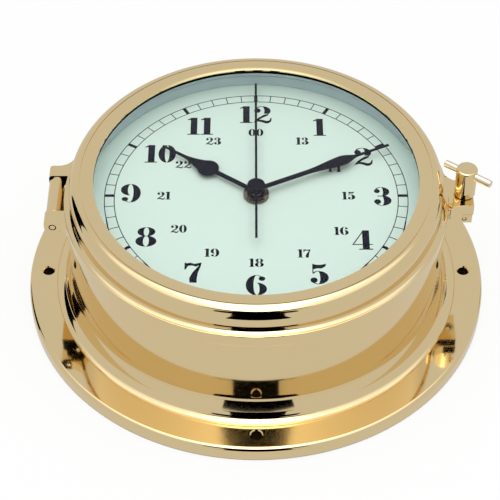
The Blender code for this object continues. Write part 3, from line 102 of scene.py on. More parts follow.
class ClockSizes(bpy.types.PropertyGroup):
    """Sizes of the visible metal and glass."""

    ring_steps: IntProperty(name="Ring steps", description="Facets of the turned rings", default=256, min=64)
    case_radius: length("Case radius", "Outside of the case's wall", 79.8)
    ledge_low: length("Ledge height", "Underside of the ledge at the wall's foot", 14.2)
    ledge_rise: length("Ledge rise", "Height of the ledge's slope", 2.8)
    ledge_step: length("Ledge step", "Ledge's edge beyond the cove's top", 0.3)
    foot_radius: length("Foot radius", "Where the cove meets the flange", 87.0)
    foot_round: length("Foot rounding", "Round at the cove's foot", 5.1)
    foot_slope: angle("Foot slope", "Lean of the plain cone above that round", 22)
    foot_groove: length("Foot groove", "Fine groove where the cove meets the flange", 0.25)
    flange_thickness: length("Flange thickness", "Thickness of the mounting flange", 6.2)
    flange_round: length("Flange edge", "Rounding of the flange's upper edge", 1.8)
    hole_circle: length("Hole circle", "Radius of the circle of fixing holes", 91.0)
    hole_radius: length("Hole radius", "Radius of a fixing hole", 2.3)
    hole_chamfer: length("Hole chamfer", "Chamfer at the front of a fixing hole", 0.45)
    wall_thickness: length("Wall", "Thickness of the case's wall", 3.5)
    spigot_radius: length("Spigot radius", "Outside of the spigot under the bezel", 76.1)
    lip_radius: length("Lip radius", "Inside of the lip that carries the dial", 67.0)
    lip_height: length("Lip height", "Thickness of that lip", 4.0)
    skirt_bore: length("Skirt bore", "Inside of the bezel's skirt", 77.1)
    shoulder: length("Shoulder", "Height of the step inside the skirt", 49.9)
    bezel_bore: length("Bezel bore", "Inside of the bezel below the glass", 72.4)
    skirt_top: length("Skirt top", "Height of the skirt's top edge", 53.6)
    side_radius: length("Side radius", "Bezel's side above the skirt", 77.9)
    side_foot: length("Side foot", "Height where the side meets the skirt's cove", 55.0)
    bezel_round: length("Bezel edge", "Rounding of the bezel's outer edge", 4.5)
    opening_radius: length("Opening radius", "Bezel's opening over the glass", 67.7)
    opening_top: length("Opening height", "Height of the opening's edge", 63.9)
    lip_bottom: length("Lip underside", "Underside of the bezel's lip over the glass", 62.1)
    crest_groove: length("Crest groove", "Width of the turned groove between face and rounding", 0.25)
    crest_depth: length("Crest depth", "Depth of that groove", 0.8)
    ear_fillet: length("Ear fillet", "Fillet between an ear and the skirt", 7.0)
    ear_half: length("Ear half width", "Half the width of the latch's ear", 7.7)
    ear_height: length("Ear height", "Thickness of the latch's ear", 5.2)
    ear_bore: length("Ear bore", "Radius of the holes in the bezel's ears", 1.6)
    knuckle_radius: length("Knuckle radius", "Outside of the hinge's knuckles", 3.5)
    knuckle_corner: length("Knuckle corner", "Rounding of the knuckles' upper outer corner", 1.6)
    lug_fillet: length("Lug fillet", "Fillet between the latch's lug and the wall", 2.5)
    head_height: length("Head height", "Height of the latch screw's head", 14.0)
    head_round: length("Head rounding", "Rounding of the latch screw's head", 0.8)
    glass_bevel: length("Glass bevel", "Width of the glass's polished bevel", 2.5)
    glass_bevel_rise: length("Glass bevel rise", "Height of that bevel", 1.0)
    glass_bevel_inset: length("Glass bevel inset", "Bevel's inner edge inside the opening", 2.1)
    edge_break: length("Edge break", "Small rounding on sharp metal edges", 0.25)


class HandSizes(bpy.types.PropertyGroup):
    """Sizes of the three hands and their cap."""

    hour_turn: angle("Hour turn", "Hour hand clockwise from twelve", 305.35)
    hour_length: length("Hour hand", "Centre to tip", 49.0)
    hour_shaft: length("Hour shaft", "Half width of the shaft", 1.05)
    hour_tip: length("Hour tip", "Half width at the tip", 0.45)
    pear_centre: length("Pear centre", "Distance of the round pear", 24.9)
    pear_radius: length("Pear radius", "Radius of the pear", 4.6)
    pear_taper: length("Pear taper", "Length of the hollow taper", 10.5)
    pear_neck: length("Pear neck", "Half width where the taper ends", 0.72)
    minute_turn: angle("Minute turn", "Minute hand clockwise from twelve", 64.2)
    minute_length: length("Minute hand", "Centre to tip", 63.2)
    minute_shaft: length("Minute shaft", "Half width of the shaft", 1.15)
    minute_tip: length("Minute tip", "Half width at the tip", 0.6)
    leaf_start: length("Leaf start", "Where the leaf begins", 24.0)
    leaf_widest: length("Leaf widest", "Where the leaf is widest", 41.0)
    leaf_end: length("Leaf end", "Where the leaf ends", 48.5)
    leaf_half: length("Leaf width", "Half width of the leaf", 2.7)
    second_half: length("Second hand", "Half width of the needle", 0.5)
    hand_edge: length("Hand edge", "Small rounding on the hands' edges", 0.08)
    cap_crown: length("Cap crown", "Cap's middle above its edge", 0.5)


class ClockColours(bpy.types.PropertyGroup):
    """Colours of the clock's finishes."""

    brass: tint("Brass", "Polished brass", 0.88, 0.70, 0.40)
    brass_deep: tint("Deep brass", "Brass where handling has dulled it", 0.80, 0.60, 0.30)
    brass_pale: tint("Pale brass", "Paler brass of the latch bar", 0.88, 0.78, 0.60)
    # Painted shade: the near-black that polished brass is darkened to in gaps and under the bezel's lip.
    residue: tint("Residue", "Polish residue in gaps", 0.006, 0.004, 0.003)
    enamel: tint("Enamel", "Dial enamel", 0.70, 0.82, 0.75)
    lacquer: tint("Lacquer", "Hands and dial print", 0.0015, 0.0015, 0.008)
    wall: tint("Inner wall", "Ring round the dial", 0.52, 0.62, 0.66)
    bronze: tint("Bronze", "Nut under the hands", 0.20, 0.14, 0.10)
    steel: tint("Steel", "Clips, contacts and bush", 0.60, 0.61, 0.62)
    rubber: tint("Rubber", "Gasket", 0.015, 0.015, 0.015)
    housing: tint("Housing", "Moulded movement housing", 0.020, 0.020, 0.023)
    wheels: tint("Wheels", "Moulded wheels", 0.75, 0.76, 0.72)
    magnet: tint("Magnet", "Rotor", 0.08, 0.08, 0.085)
    board: tint("Board", "Resist on the circuit board", 0.010, 0.16, 0.055)
    cell: tint("Cell", "Jacket of the battery", 0.20, 0.22, 0.26)
    copper: tint("Copper", "Crown of the winding's turns", 0.62, 0.22, 0.10)
    # Painted shade: this darker copper stands for shade in the gaps between the winding's turns.
    copper_deep: tint("Deep copper", "Gaps between those turns", 0.25, 0.07, 0.03)


class StudioSettings(bpy.types.PropertyGroup):
    """Camera, lamps and cards of the studio."""

    lens: FloatProperty(name="Lens", description="Focal length", default=122.4, unit="CAMERA")
    elevation: angle("Elevation", "Camera's height angle", 45.85)
    distance: length("Distance", "From the camera to the point it looks at", 723.7)
    aim: FloatVectorProperty(
        name="Aim", description="Point that the camera looks at", subtype="XYZ",
        default=(-2.59 * MM, -10.26 * MM, 29.7 * MM))
    softbox_power: FloatProperty(
        name="Softbox", description="Power of the softbox on matt surfaces", default=7.0, unit="POWER")
    softbox_glow: brightness("Softbox glow", "Brightness of the softbox in metal and glass", 3.0)
    softbox_height: length("Softbox height", "Height of the softbox", 900)
    softbox_half: length("Softbox half width", "Half the softbox's width, faded edges included", 1300)
    fill_power: FloatProperty(
        name="Fill", description="Power of the large overhead fill", default=1.0, unit="POWER")
    surround: brightness("Surround", "Brightness of the white surround in metal and glass", 0.68)
    ambient: brightness("Ambient", "Brightness of the surround on matt surfaces", 0.50)


def sizes():
    return bpy.context.scene.clock_sizes


def hand_sizes():
    return bpy.context.scene.clock_hands


def colours():
    return bpy.context.scene.clock_colours


def studio():
    return bpy.context.scene.clock_studio


# Shader maths


class Wire:
    """One output socket; arithmetic on it adds Math nodes."""

    def __init__(self, tree, socket):
        self.tree = tree
        self.socket = socket

    def __add__(self, other):
        return self.tree.math("ADD", self, other)

    def __radd__(self, other):
        return self.tree.math("ADD", other, self)

    def __sub__(self, other):
        return self.tree.math("SUBTRACT", self, other)

    def __rsub__(self, other):
        return self.tree.math("SUBTRACT", other, self)

    def __mul__(self, other):
        return self.tree.math("MULTIPLY", self, other)

    def __rmul__(self, other):
        return self.tree.math("MULTIPLY", other, self)


class Tree:
    """Node tree of a material or of the world."""

    def __init__(self, owner):
        owner.use_nodes = True
        self.nodes = owner.node_tree.nodes
        self.links = owner.node_tree.links
        self.nodes.clear()

    def node(self, kind, sockets, output=0, stops=None, **settings):
        """Add a node with its settings, then the values or links of its sockets; return one output."""
        made = self.nodes.new(kind)
        for name, value in settings.items():
            setattr(made, name, value)
        if stops:
            ramp = made.color_ramp.elements
            while len(ramp) < len(stops):
                ramp.new(0.5)
            for element, (position, level) in zip(ramp, stops):
                element.position = position
                element.color = (level, level, level, 1)
        for name, value in sockets.items():
            socket = made.inputs[name]
            if isinstance(value, Wire):
                self.links.new(value.socket, socket)
            elif socket.type == "RGBA":
                socket.default_value = (*value, 1)
            else:
                socket.default_value = value
        if made.outputs:
            return Wire(self, made.outputs[output])

    def end(self, shader):
        """Link the last shader to the material's output."""
        self.node("ShaderNodeOutputMaterial", {"Surface": shader})

    def math(self, operation, first, second=0.0):
        return self.node("ShaderNodeMath", {0: first, 1: second}, operation=operation)

    def within(self, value, low, high):
        """1 where a value lies between two limits, else 0."""
        return self.math("GREATER_THAN", value, low) * self.math("LESS_THAN", value, high)

    def diagonal(self, across, along):
        """Length of the diagonal over two sides."""
        return self.math("SQRT", across * across + along * along)

    def fade(self, value, dark, bright):
        """Smooth step from 0 at one value to 1 at another."""
        return self.node("ShaderNodeMapRange", {"Value": value, "From Min": dark, "From Max": bright},
                         output="Result", interpolation_type="SMOOTHSTEP")

    def place(self):
        """Position on the piece, in metres."""
        return self.node("ShaderNodeTexCoord", {}, output="Object")

    def axes(self):
        """The three parts of that position."""
        where = self.place()
        return [self.node("ShaderNodeSeparateXYZ", {0: where}, output=axis) for axis in "XYZ"]

    def noise(self, scale, detail=2.0, roughness=0.5, stretch=(1, 1, 1)):
        """Soft cloud between 0 and 1; scale is in features per metre, times the stretch along each axis."""
        where = self.node("ShaderNodeVectorMath", {0: self.place(), 1: stretch}, operation="MULTIPLY")
        return self.node("ShaderNodeTexNoise", {
            "Vector": where, "Scale": scale, "Detail": detail, "Roughness": roughness}, output="Fac")

    def bump(self, height, strength, distance):
        return self.node("ShaderNodeBump", {"Height": height, "Strength": strength, "Distance": distance},
                         output="Normal")

    def mix(self, share, first, second):
        """Mix two colours; the node names its colour sockets alike, so they are reached by place."""
        return self.node("ShaderNodeMix", {0: share, 6: first, 7: second}, output=2, data_type="RGBA")

    def cross(self, share, first, second):
        """Mix two shaders."""
        return self.node("ShaderNodeMixShader", {0: share, 1: first, 2: second})

    def glow(self, colour, strength=1.0):
        return self.node("ShaderNodeEmission", {"Color": colour, "Strength": strength})

    def ray(self, kind):
        """1 for one kind of ray, such as Camera, else 0."""
        return self.node("ShaderNodeLightPath", {}, output=f"Is {kind} Ray")


class Finish(Tree):
    """Material with one Principled node: constants on its sockets, wires for what varies."""

    def __init__(self, name, **constants):
        self.material = bpy.data.materials.new(name)
        super().__init__(self.material)
        values = {socket.replace("_", " "): value for socket, value in constants.items()}
        self.shader = self.node("ShaderNodeBsdfPrincipled", values)

    def close(self, outside=None, **wires):
        """Link the wires to the Principled node and the outermost shader to the output."""
        inputs = self.shader.socket.node.inputs
        for name, wire in wires.items():
            self.links.new(wire.socket, inputs[name.replace("_", " ")])
        self.end(outside or self.shader)
        return self.material


def shaded(colour, share):
    """A colour times a share of itself."""
    return tuple(channel * share for channel in colour)


def polished_brass(name, wear=0.25, smear=0.05, roughness=0.035, residue=None, tone=None):
    """Mirror-polished brass: faint tarnish clouds, wiping smears, hairlines, and painted shade in gaps and
    under edges where a mask is given.
    """
    metal = Finish(name, Metallic=1.0)
    tarnish = metal.noise(22.0, 3.0) * wear
    colour = metal.mix(tarnish, tone or colours().brass, colours().brass_deep)
    dull = metal.noise(90.0, 4.0, 0.6) * smear + roughness
    hairline = metal.noise(2600.0)
    if residue:
        # Painted shade: where the mask is 1 the brass turns near-black and rougher.
        share = residue(metal)
        colour = metal.mix(share, colour, colours().residue)
        dull = dull + share * 0.5
    return metal.close(Base_Color=colour, Roughness=dull, Normal=metal.bump(hairline, 0.02, 0.00002))


def under_lip(tree):
    """Painted shade on the lower part of the edge over the glass."""
    past_edge = sizes().opening_radius + 0.05 * MM
    clean_height = sizes().opening_top - 0.5 * MM
    x, y, z = tree.axes()
    return tree.within(tree.diagonal(x, y), 0.0, past_edge) * tree.within(z, 0.0, clean_height)


def in_hinge_slot(tree):
    """Painted shade on the faces of the slot beside the middle knuckle."""
    knuckle_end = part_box("hinge_barrel")[1].y
    margin = 0.01 * MM
    aside = tree.math("ABSOLUTE", tree.axes()[1])
    return tree.within(aside, knuckle_end - margin, knuckle_end + GAP + margin)


def round_pin(node):
    """Painted shade round the end of a pin that runs along Y."""
    low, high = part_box(node)
    middle = (low + high) / 2
    radius = (high.z - low.z) / 2

    def ring(tree):
        x, _, z = tree.axes()
        return tree.within(tree.diagonal(x - middle.x, z - middle.z), 0.75 * radius, 2 * radius)

    return ring


def dial_enamel():
    """Fine-grained white enamel paint."""
    paint = Finish("dial enamel", Roughness=0.38)
    white = colours().enamel
    return paint.close(
        Base_Color=paint.mix(paint.noise(30.0, 3.0) * 0.5, white, shaded(white, 0.97)),
        Normal=paint.bump(paint.noise(3500.0), 0.05, 0.00001))


def lacquer(name, roughness=0.25):
    """Black lacquer with a slight orange peel."""
    coating = Finish(name, Specular_IOR_Level=0.02)
    black = colours().lacquer
    peel = coating.noise(1800.0)
    return coating.close(
        Base_Color=coating.mix(coating.noise(120.0), black, shaded(black, 1.6)),
        Roughness=peel * 0.1 + roughness,
        Normal=coating.bump(peel, 0.06, 0.00001))


def dark_bronze(name):
    """Oiled bronze with a warm worn shine."""
    metal = Finish(name, Metallic=0.9)
    worn = metal.noise(500.0, 3.0)
    return metal.close(
        Base_Color=metal.mix(worn, colours().bronze, shaded(colours().bronze, 0.35)),
        Roughness=worn * 0.15 + 0.2,
        Normal=metal.bump(worn, 0.1, 0.00002))


def moulded(name, colour, roughness=0.45, grain=2400.0):
    """Moulded plastic or rubber with a fine spark-eroded grain."""
    plastic = Finish(name)
    speck = plastic.noise(grain, 3.0)
    return plastic.close(
        Base_Color=plastic.mix(plastic.noise(60.0) * 0.6, colour, shaded(colour, 0.85)),
        Roughness=speck * 0.15 + roughness,
        Normal=plastic.bump(speck, 0.15, 0.00002))


def bright_steel(name):
    """Rolled steel whose fine grain varies fastest along X."""
    metal = Finish(name, Metallic=1.0)
    grain = metal.noise(800.0, stretch=(60, 1, 1))
    return metal.close(
        Base_Color=metal.mix(grain * 0.5, colours().steel, shaded(colours().steel, 0.8)),
        Roughness=grain * 0.2 + 0.2)


def copper_wire():
    """Enamelled winding: turns side by side along X, with painted shade darkening the gaps between them."""
    metal = Finish("winding copper", Metallic=0.8)
    turns = metal.node("ShaderNodeTexWave", {"Vector": metal.place(), "Scale": 1600.0}, output="Fac",
                       bands_direction="X")
    return metal.close(
        Base_Color=metal.mix(turns, colours().copper, colours().copper_deep),
        Roughness=turns * 0.2 + 0.3,
        Normal=metal.bump(turns, 0.6, 0.00005))


def clear_glass():
    """Polished glass, coated against glare, that lets lamps and soft light through to the dial."""
    glass = Finish("clear glass", IOR=1.5, Roughness=0.0, Transmission_Weight=1.0, Specular_Tint=(0, 0, 0))
    film = glass.noise(45.0, 3.0) * 0.2
    through = glass.node("ShaderNodeBsdfTransparent", {"Color": (0.93, 0.95, 0.94)})
    return glass.close(
        glass.cross(glass.ray("Shadow") + glass.ray("Diffuse"), glass.shader, through),
        Base_Color=glass.mix(film, (0.97, 0.99, 0.98), (0.94, 0.97, 0.96)))


# Mesh tools


def dress(piece, material, body, node=None):
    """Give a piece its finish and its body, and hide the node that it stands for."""
    piece.data.materials.clear()
    piece.data.materials.append(material)
    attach(piece, body)
    if node:
        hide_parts(node)


def coat(node, material):
    """Give a CAD node a better finish."""
    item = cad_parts[node]
    item.data.materials.clear()
    item.data.materials.append(material)


def smooth(mesh):
    """Shade smooth, except at edges sharper than 30 degrees."""
    mesh.shade_smooth()
    mesh.set_sharp_from_angle(angle=math.radians(30))


def piece_from(name, shape):
    """Make a smooth object from a bmesh."""
    bmesh.ops.recalc_face_normals(shape, faces=shape.faces)
    mesh = bpy.data.meshes.new(name)
    shape.to_mesh(mesh)
    shape.free()
    piece = bpy.data.objects.new(name, mesh)
    bpy.context.scene.collection.objects.link(piece)
    smooth(mesh)
    return piece


def oval(cx, cy, rx, ry, start=0, end=360, steps=20):
    """Points on an ellipse between two angles in degrees."""
    turns = [math.radians(start + (end - start) * index / steps) for index in range(steps + 1)]
    return [(cx + rx * math.cos(turn), cy + ry * math.sin(turn)) for turn in turns]


def arc(centre, radius, start, end, steps=8):
    """Points on an arc between two angles in degrees."""
    return oval(*centre, radius, radius, start, end, steps)


def circle_outline(radius, steps):
    return arc((0, 0), radius, 0, 360 - 360 / steps, steps - 1)


def add_turned(shape, profile, steps, closed=True):
    """Turn a profile of (radius, height) round Z and add it to a bmesh."""
    rings = []
    for index in range(steps):
        turn = 2 * math.pi * index / steps
        rings.append([shape.verts.new((radius * math.cos(turn), radius * math.sin(turn), height))
                      for radius, height in profile])
    count = len(profile)
    for here, there in zip(rings, rings[1:] + rings[:1]):
        for point in range(count if closed else count - 1):
            after = (point + 1) % count
            shape.faces.new((here[point], here[after], there[after], there[point]))


def add_prism(shape, outline, bottom, top):
    """Add a flat solid to a bmesh."""
    low = [shape.verts.new((x, y, bottom)) for x, y in outline]
    high = [shape.verts.new((x, y, top)) for x, y in outline]
    shape.faces.new(list(reversed(low)))
    shape.faces.new(high)
    for index in range(len(outline)):
        after = (index + 1) % len(outline)
        shape.faces.new((low[index], low[after], high[after], high[index]))


def lathe(name, profile, steps, closed=True):
    """Solid turned from a profile, which may be open where it meets the axis."""
    shape = bmesh.new()
    add_turned(shape, profile, steps, closed)
    bmesh.ops.remove_doubles(shape, verts=shape.verts, dist=0.0001 * MM)
    return piece_from(name, shape)


def prism(name, outline, bottom, top):
    """Flat solid from an outline in X and Y."""
    shape = bmesh.new()
    add_prism(shape, outline, bottom, top)
    return piece_from(name, shape)


def facing(start, end):
    """Turn that points Z from one place to another."""
    return (end - start).to_track_quat("Z", "Y").to_matrix().to_4x4()


def rod(name, radius, start, end, steps=48):
    """Cylinder between two points."""
    start, end = Vector(start), Vector(end)
    place = Matrix.Translation((start + end) / 2) @ facing(start, end)
    shape = bmesh.new()
    bmesh.ops.create_cone(shape, cap_ends=True, segments=steps, radius1=radius, radius2=radius,
                          depth=(end - start).length, matrix=place)
    return piece_from(name, shape)


def rounded_rod(name, radius, rounding, start, end, steps=64):
    """Turned rod between two points, with rounded ends."""
    start, end = Vector(start), Vector(end)
    reach = (end - start).length
    profile = [(0, 0)] + arc((radius - rounding, rounding), rounding, 270, 360, 5)
    profile += arc((radius - rounding, reach - rounding), rounding, 0, 90, 5) + [(0, reach)]
    piece = lathe(name, profile, steps, closed=False)
    piece.data.transform(Matrix.Translation(start) @ facing(start, end))
    return piece


def box(name, low, high):
    """Box between two corners."""
    low, high = Vector(low), Vector(high)
    shape = bmesh.new()
    bmesh.ops.create_cube(shape, size=1, matrix=Matrix.Translation((low + high) / 2)
                          @ Matrix.Diagonal((*(high - low), 1)))
    return piece_from(name, shape)


def combine(target, tool, operation):
    """Apply a Boolean to a piece and drop its tool."""
    change = target.modifiers.new(operation.title(), "BOOLEAN")
    change.object = tool
    change.operation = operation
    change.solver = "EXACT"
    graph = bpy.context.evaluated_depsgraph_get()
    mesh = bpy.data.meshes.new_from_object(target.evaluated_get(graph))
    target.modifiers.remove(change)
    target.data = mesh
    bpy.data.objects.remove(tool)
    smooth(mesh)


def join(target, tool):
    combine(target, tool, "UNION")


def cut(target, tool):
    combine(target, tool, "DIFFERENCE")


def keep_flats(piece):
    """Shade the flats flat beside their rounded edges."""
    flats = piece.modifiers.new("Flats", "WEIGHTED_NORMAL")
    flats.keep_sharp = True


def break_edges(piece, width=None):
    """Round the sharp edges a little and keep the flats flat."""
    soften = piece.modifiers.new("Edge break", "BEVEL")
    soften.width = width or sizes().edge_break
    soften.segments = 2
    soften.limit_method = "ANGLE"
    soften.angle_limit = math.radians(35)
    keep_flats(piece)


# Case


def case_profile():
    """Closed section of the case, with its small edge roundings."""
    s = sizes()
    edge = s.edge_break
    rim = s.flange_round
    step = s.ledge_step
    slope = math.degrees(s.foot_slope)
    cove = arc((s.foot_radius, s.flange_thickness + s.foot_round), s.foot_round, 180 + slope, 268, 16)
    cove_top = cove[0][0] - (s.ledge_low - cove[0][1]) * math.tan(s.foot_slope)
    ledge_edge = cove_top + step
    groove_edge = s.foot_radius + s.foot_groove
    groove_floor = s.flange_thickness - s.foot_groove
    bore = s.case_radius - s.wall_thickness
    lip_foot = SPIGOT_TOP - s.lip_height
    profile = [(s.lip_radius, SPIGOT_TOP), (s.spigot_radius, SPIGOT_TOP), (s.spigot_radius, CASE_TOP)]
    profile += arc((s.case_radius - edge, CASE_TOP - edge), edge, 90, 0, 3)
    profile += [(s.case_radius, s.ledge_low + s.ledge_rise), (ledge_edge - step / 4, s.ledge_low + step),
                (ledge_edge, s.ledge_low + step / 2), (ledge_edge, s.ledge_low + step / 4),
                (cove_top, s.ledge_low)]
    profile += cove
    profile += [(s.foot_radius, groove_floor), (groove_edge, groove_floor), (groove_edge, s.flange_thickness)]
    profile += arc((FLANGE_RADIUS - rim, s.flange_thickness - rim), rim, 90, 0, 10)
    profile += arc((FLANGE_RADIUS - edge, edge), edge, 0, -90, 2)
    profile += [(bore, 0), (bore, lip_foot - s.wall_thickness), (bore - s.wall_thickness, lip_foot),
                (s.lip_radius, lip_foot)]
    return profile


def cut_fixing_holes(case):
    """Four screw holes through the flange, lightly countersunk."""
    s = sizes()
    top = s.flange_thickness
    rim = s.hole_chamfer
    past = MM
    profile = [(0, top + past), (s.hole_radius + rim + past, top + past), (s.hole_radius + rim, top),
               (s.hole_radius, top - rim), (s.hole_radius, -past), (0, -past)]
    for quarter in range(4):
        turn = math.pi / 2 * quarter
        hole = lathe("hole", profile, 48, closed=False)
        hole.location = (s.hole_circle * math.cos(turn), s.hole_circle * math.sin(turn), 0)
        bpy.context.view_layer.update()
        cut(case, hole)


def ear_outline(root, reach, half_width, fillet):
    """Ear along +X whose sides flow into the skirt with tangent fillets."""
    across = half_width + fillet
    along = math.sqrt((root + fillet) ** 2 - across ** 2)
    meet = math.degrees(math.atan2(across, along))
    upper = [(reach, half_width)] + arc((along, across), fillet, 270, 180 + meet, 16)
    upper.append((upper[-1][0] - fillet / 2, upper[-1][1]))
    return [(x, -y) for x, y in reversed(upper)] + upper


def wall_room():
    """Cutter that keeps a lug clear of the case's wall."""
    return prism("wall_room", circle_outline(sizes().case_radius + GAP, sizes().ring_steps), 0, BEZEL_TOP)


def hinge_arm():
    """Middle knuckle with the arm that carries it on the wall."""
    low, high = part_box("hinge_barrel")
    radius = HINGE_X - low.x
    outer_face = low.x + 0.6 * MM
    neck_face = outer_face + 3.3 * MM
    neck_top = HINGE_Z - radius + 1.2 * MM
    reach_top = CASE_TOP - 0.9 * MM
    past = 30 * MM
    bore_radius = HINGE_HIGH.z - HINGE_Z + PLAY
    arm = rod("hinge_arm", radius, (HINGE_X, low.y, HINGE_Z), (HINGE_X, high.y, HINGE_Z), SMALL_STEPS)
    join(arm, box("neck", (outer_face, low.y, low.z), (neck_face, high.y, neck_top)))
    join(arm, box("reach", (outer_face, low.y, low.z), (-ARM_ROOT, high.y, reach_top)))
    cut(arm, wall_room())
    cut(arm, rod("bore", bore_radius, (HINGE_X, -past, HINGE_Z), (HINGE_X, past, HINGE_Z)))
    break_edges(arm)
    return arm


def latch_block():
    """Lower block of the latch on the wall, with its bush hole and cross-pin hole."""
    low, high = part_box("latch_lug")
    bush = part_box("thread_bush")[1]
    pin_low, pin_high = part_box("bush_pin")
    pin_z = (pin_high.z + pin_low.z) / 2
    inset = 0.1 * MM
    top = BEZEL_BOTTOM - 0.08 * MM
    outline = ear_outline(sizes().case_radius, high.x - inset, sizes().ear_half - inset, sizes().lug_fillet)
    block = prism("latch_block", outline, low.z, top)
    cut(block, wall_room())
    cut(block, rod("bush_hole", bush.x - LATCH_X + PLAY, (LATCH_X, 0, 0), (LATCH_X, 0, BEZEL_TOP)))
    cut(block, rod("pin_hole", pin_high.z - pin_z + PLAY, (LATCH_X, low.y * 1.2, pin_z), (LATCH_X, 0, pin_z)))
    break_edges(block)
    return block


class CLOCK_OT_case(bpy.types.Operator):
    """Turned case with its flange, hinge barrel, latch lug and fixed small parts"""

    bl_idname = "clock.case"
    bl_label = "Case"

    def execute(self, context):
        case = lathe("case_shell", case_profile(), sizes().ring_steps)
        cut_fixing_holes(case)
        keep_flats(case)
        dress(case, polished_brass("case brass"), "case", "case_body")
        # Painted shade on the middle knuckle's faces beside the slot.
        dress(hinge_arm(), polished_brass("hinge brass", residue=in_hinge_slot), "case", "hinge_barrel")
        dress(latch_block(), polished_brass("lug brass"), "case", "latch_lug")
        pin_round = 0.3 * MM
        pin = rounded_rod("hinge_pin_turned", HINGE_HIGH.z - HINGE_Z, pin_round,
                          (HINGE_X, HINGE_LOW.y, HINGE_Z), (HINGE_X, HINGE_HIGH.y, HINGE_Z))
        # Painted shade round the ends of the hinge pin and the bush pin.
        dress(pin, polished_brass("hinge pin brass", residue=round_pin("hinge_pin")), "case", "hinge_pin")
        coat("bush_pin", polished_brass("bush pin brass", residue=round_pin("bush_pin")))
        for node in ("dial_foot_nut_1", "dial_foot_nut_2", "dial_foot_nut_3"):
            coat(node, polished_brass(f"{node} brass"))
        coat("thread_bush", bright_steel("bush steel"))
        coat("case_gasket", moulded("gasket rubber", colours().rubber, 0.6))
        return {"FINISHED"}


# Bezel


def bezel_profile():
    """Closed section of the bezel ring."""
    s = sizes()
    edge = s.edge_break
    rounding = s.bezel_round
    crest = s.side_radius - rounding
    cove_width = SKIRT_RADIUS - s.side_radius
    cove_height = s.side_foot - s.skirt_top
    face_steps = 8
    cove_steps = 11
    profile = []
    for index in range(face_steps):
        share = index / face_steps
        fall = (BEZEL_TOP - s.opening_top) * (1 - share) ** 2
        profile.append((s.opening_radius + (crest - s.opening_radius) * share, BEZEL_TOP - fall))
    profile += [(crest - s.crest_groove, BEZEL_TOP), (crest - s.crest_groove, BEZEL_TOP - s.crest_depth),
                (crest, BEZEL_TOP - s.crest_depth)]
    profile += arc((crest, BEZEL_TOP - rounding), rounding, 90, 0, 15)
    for index in range(cove_steps):
        turn = math.pi / 2 * index / cove_steps
        profile.append((SKIRT_RADIUS - cove_width * math.cos(turn),
                        s.side_foot - cove_height * math.sin(turn)))
    profile += arc((SKIRT_RADIUS - edge, s.skirt_top - edge), edge, 90, 0, 3)
    profile += arc((SKIRT_RADIUS - edge, BEZEL_BOTTOM + edge), edge, 0, -90, 3)
    profile += [(s.skirt_bore, BEZEL_BOTTOM), (s.skirt_bore, s.shoulder), (s.bezel_bore, s.shoulder),
                (s.bezel_bore, s.lip_bottom), (s.opening_radius, s.lip_bottom)]
    return profile


def clear_of_ring(ear):
    """Cut an ear back to the middle of the bezel's skirt, which it runs into."""
    root = (SKIRT_RADIUS + sizes().skirt_bore) / 2
    cut(ear, prism("core", circle_outline(root, 128), 0, BEZEL_TOP))


def knuckle(radius, start, end):
    """Hinge knuckle between two distances along Y: round below, flat above with a rounded outer corner."""
    corner = sizes().knuckle_corner
    outline = arc((HINGE_X, HINGE_Z), radius, 0, -180, 40)
    outline += arc((HINGE_X - radius + corner, HINGE_Z + radius - corner), corner, 180, 90, 12)
    outline.append((HINGE_X, HINGE_Z + radius))
    piece = prism("knuckle", outline, start, end)
    piece.data.transform(Matrix.Rotation(math.pi / 2, 4, "X"))
    return piece


def hinge_ears():
    """Both hinge knuckles with their filleted webs."""
    s = sizes()
    half = HINGE_HIGH.y
    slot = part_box("hinge_barrel")[1].y + GAP
    outline = [(-x, y) for x, y in ear_outline(SKIRT_RADIUS, -HINGE_X, half, s.ear_fillet)]
    ears = prism("bezel_hinge_ears", outline, BEZEL_BOTTOM, HINGE_Z + s.knuckle_radius)
    join(ears, knuckle(s.knuckle_radius, -half, half))
    cut(ears, box("slot", (HINGE_X * 1.2, -slot, 0), (-s.skirt_bore, slot, BEZEL_TOP)))
    clear_of_ring(ears)
    cut(ears, rod("bore", s.ear_bore, (HINGE_X, -half * 2, HINGE_Z), (HINGE_X, half * 2, HINGE_Z)))
    return ears


def latch_ear():
    """Ear that carries the latch screw."""
    s = sizes()
    outline = ear_outline(SKIRT_RADIUS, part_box("bezel_ring")[1].x, s.ear_half, s.ear_fillet)
    ear = prism("bezel_latch_ear", outline, BEZEL_BOTTOM, BEZEL_BOTTOM + s.ear_height)
    clear_of_ring(ear)
    cut(ear, rod("hole", s.ear_bore, (LATCH_X, 0, 0), (LATCH_X, 0, BEZEL_TOP)))
    return ear


class CLOCK_OT_bezel(bpy.types.Operator):
    """Bezel ring with its hinge ears and latch ear"""

    bl_idname = "clock.bezel"
    bl_label = "Bezel"

    def execute(self, context):
        ring = lathe("bezel_rim", bezel_profile(), sizes().ring_steps)
        keep_flats(ring)
        # Painted shade on the lower inside of the bezel's opening, and on the ears beside the hinge's slot.
        dress(ring, polished_brass("bezel brass", residue=under_lip), "bezel", "bezel_ring")
        ear_brass = polished_brass("ear brass", residue=in_hinge_slot)
        for ear in (hinge_ears(), latch_ear()):
            break_edges(ear)
            dress(ear, ear_brass, "bezel")
        return {"FINISHED"}


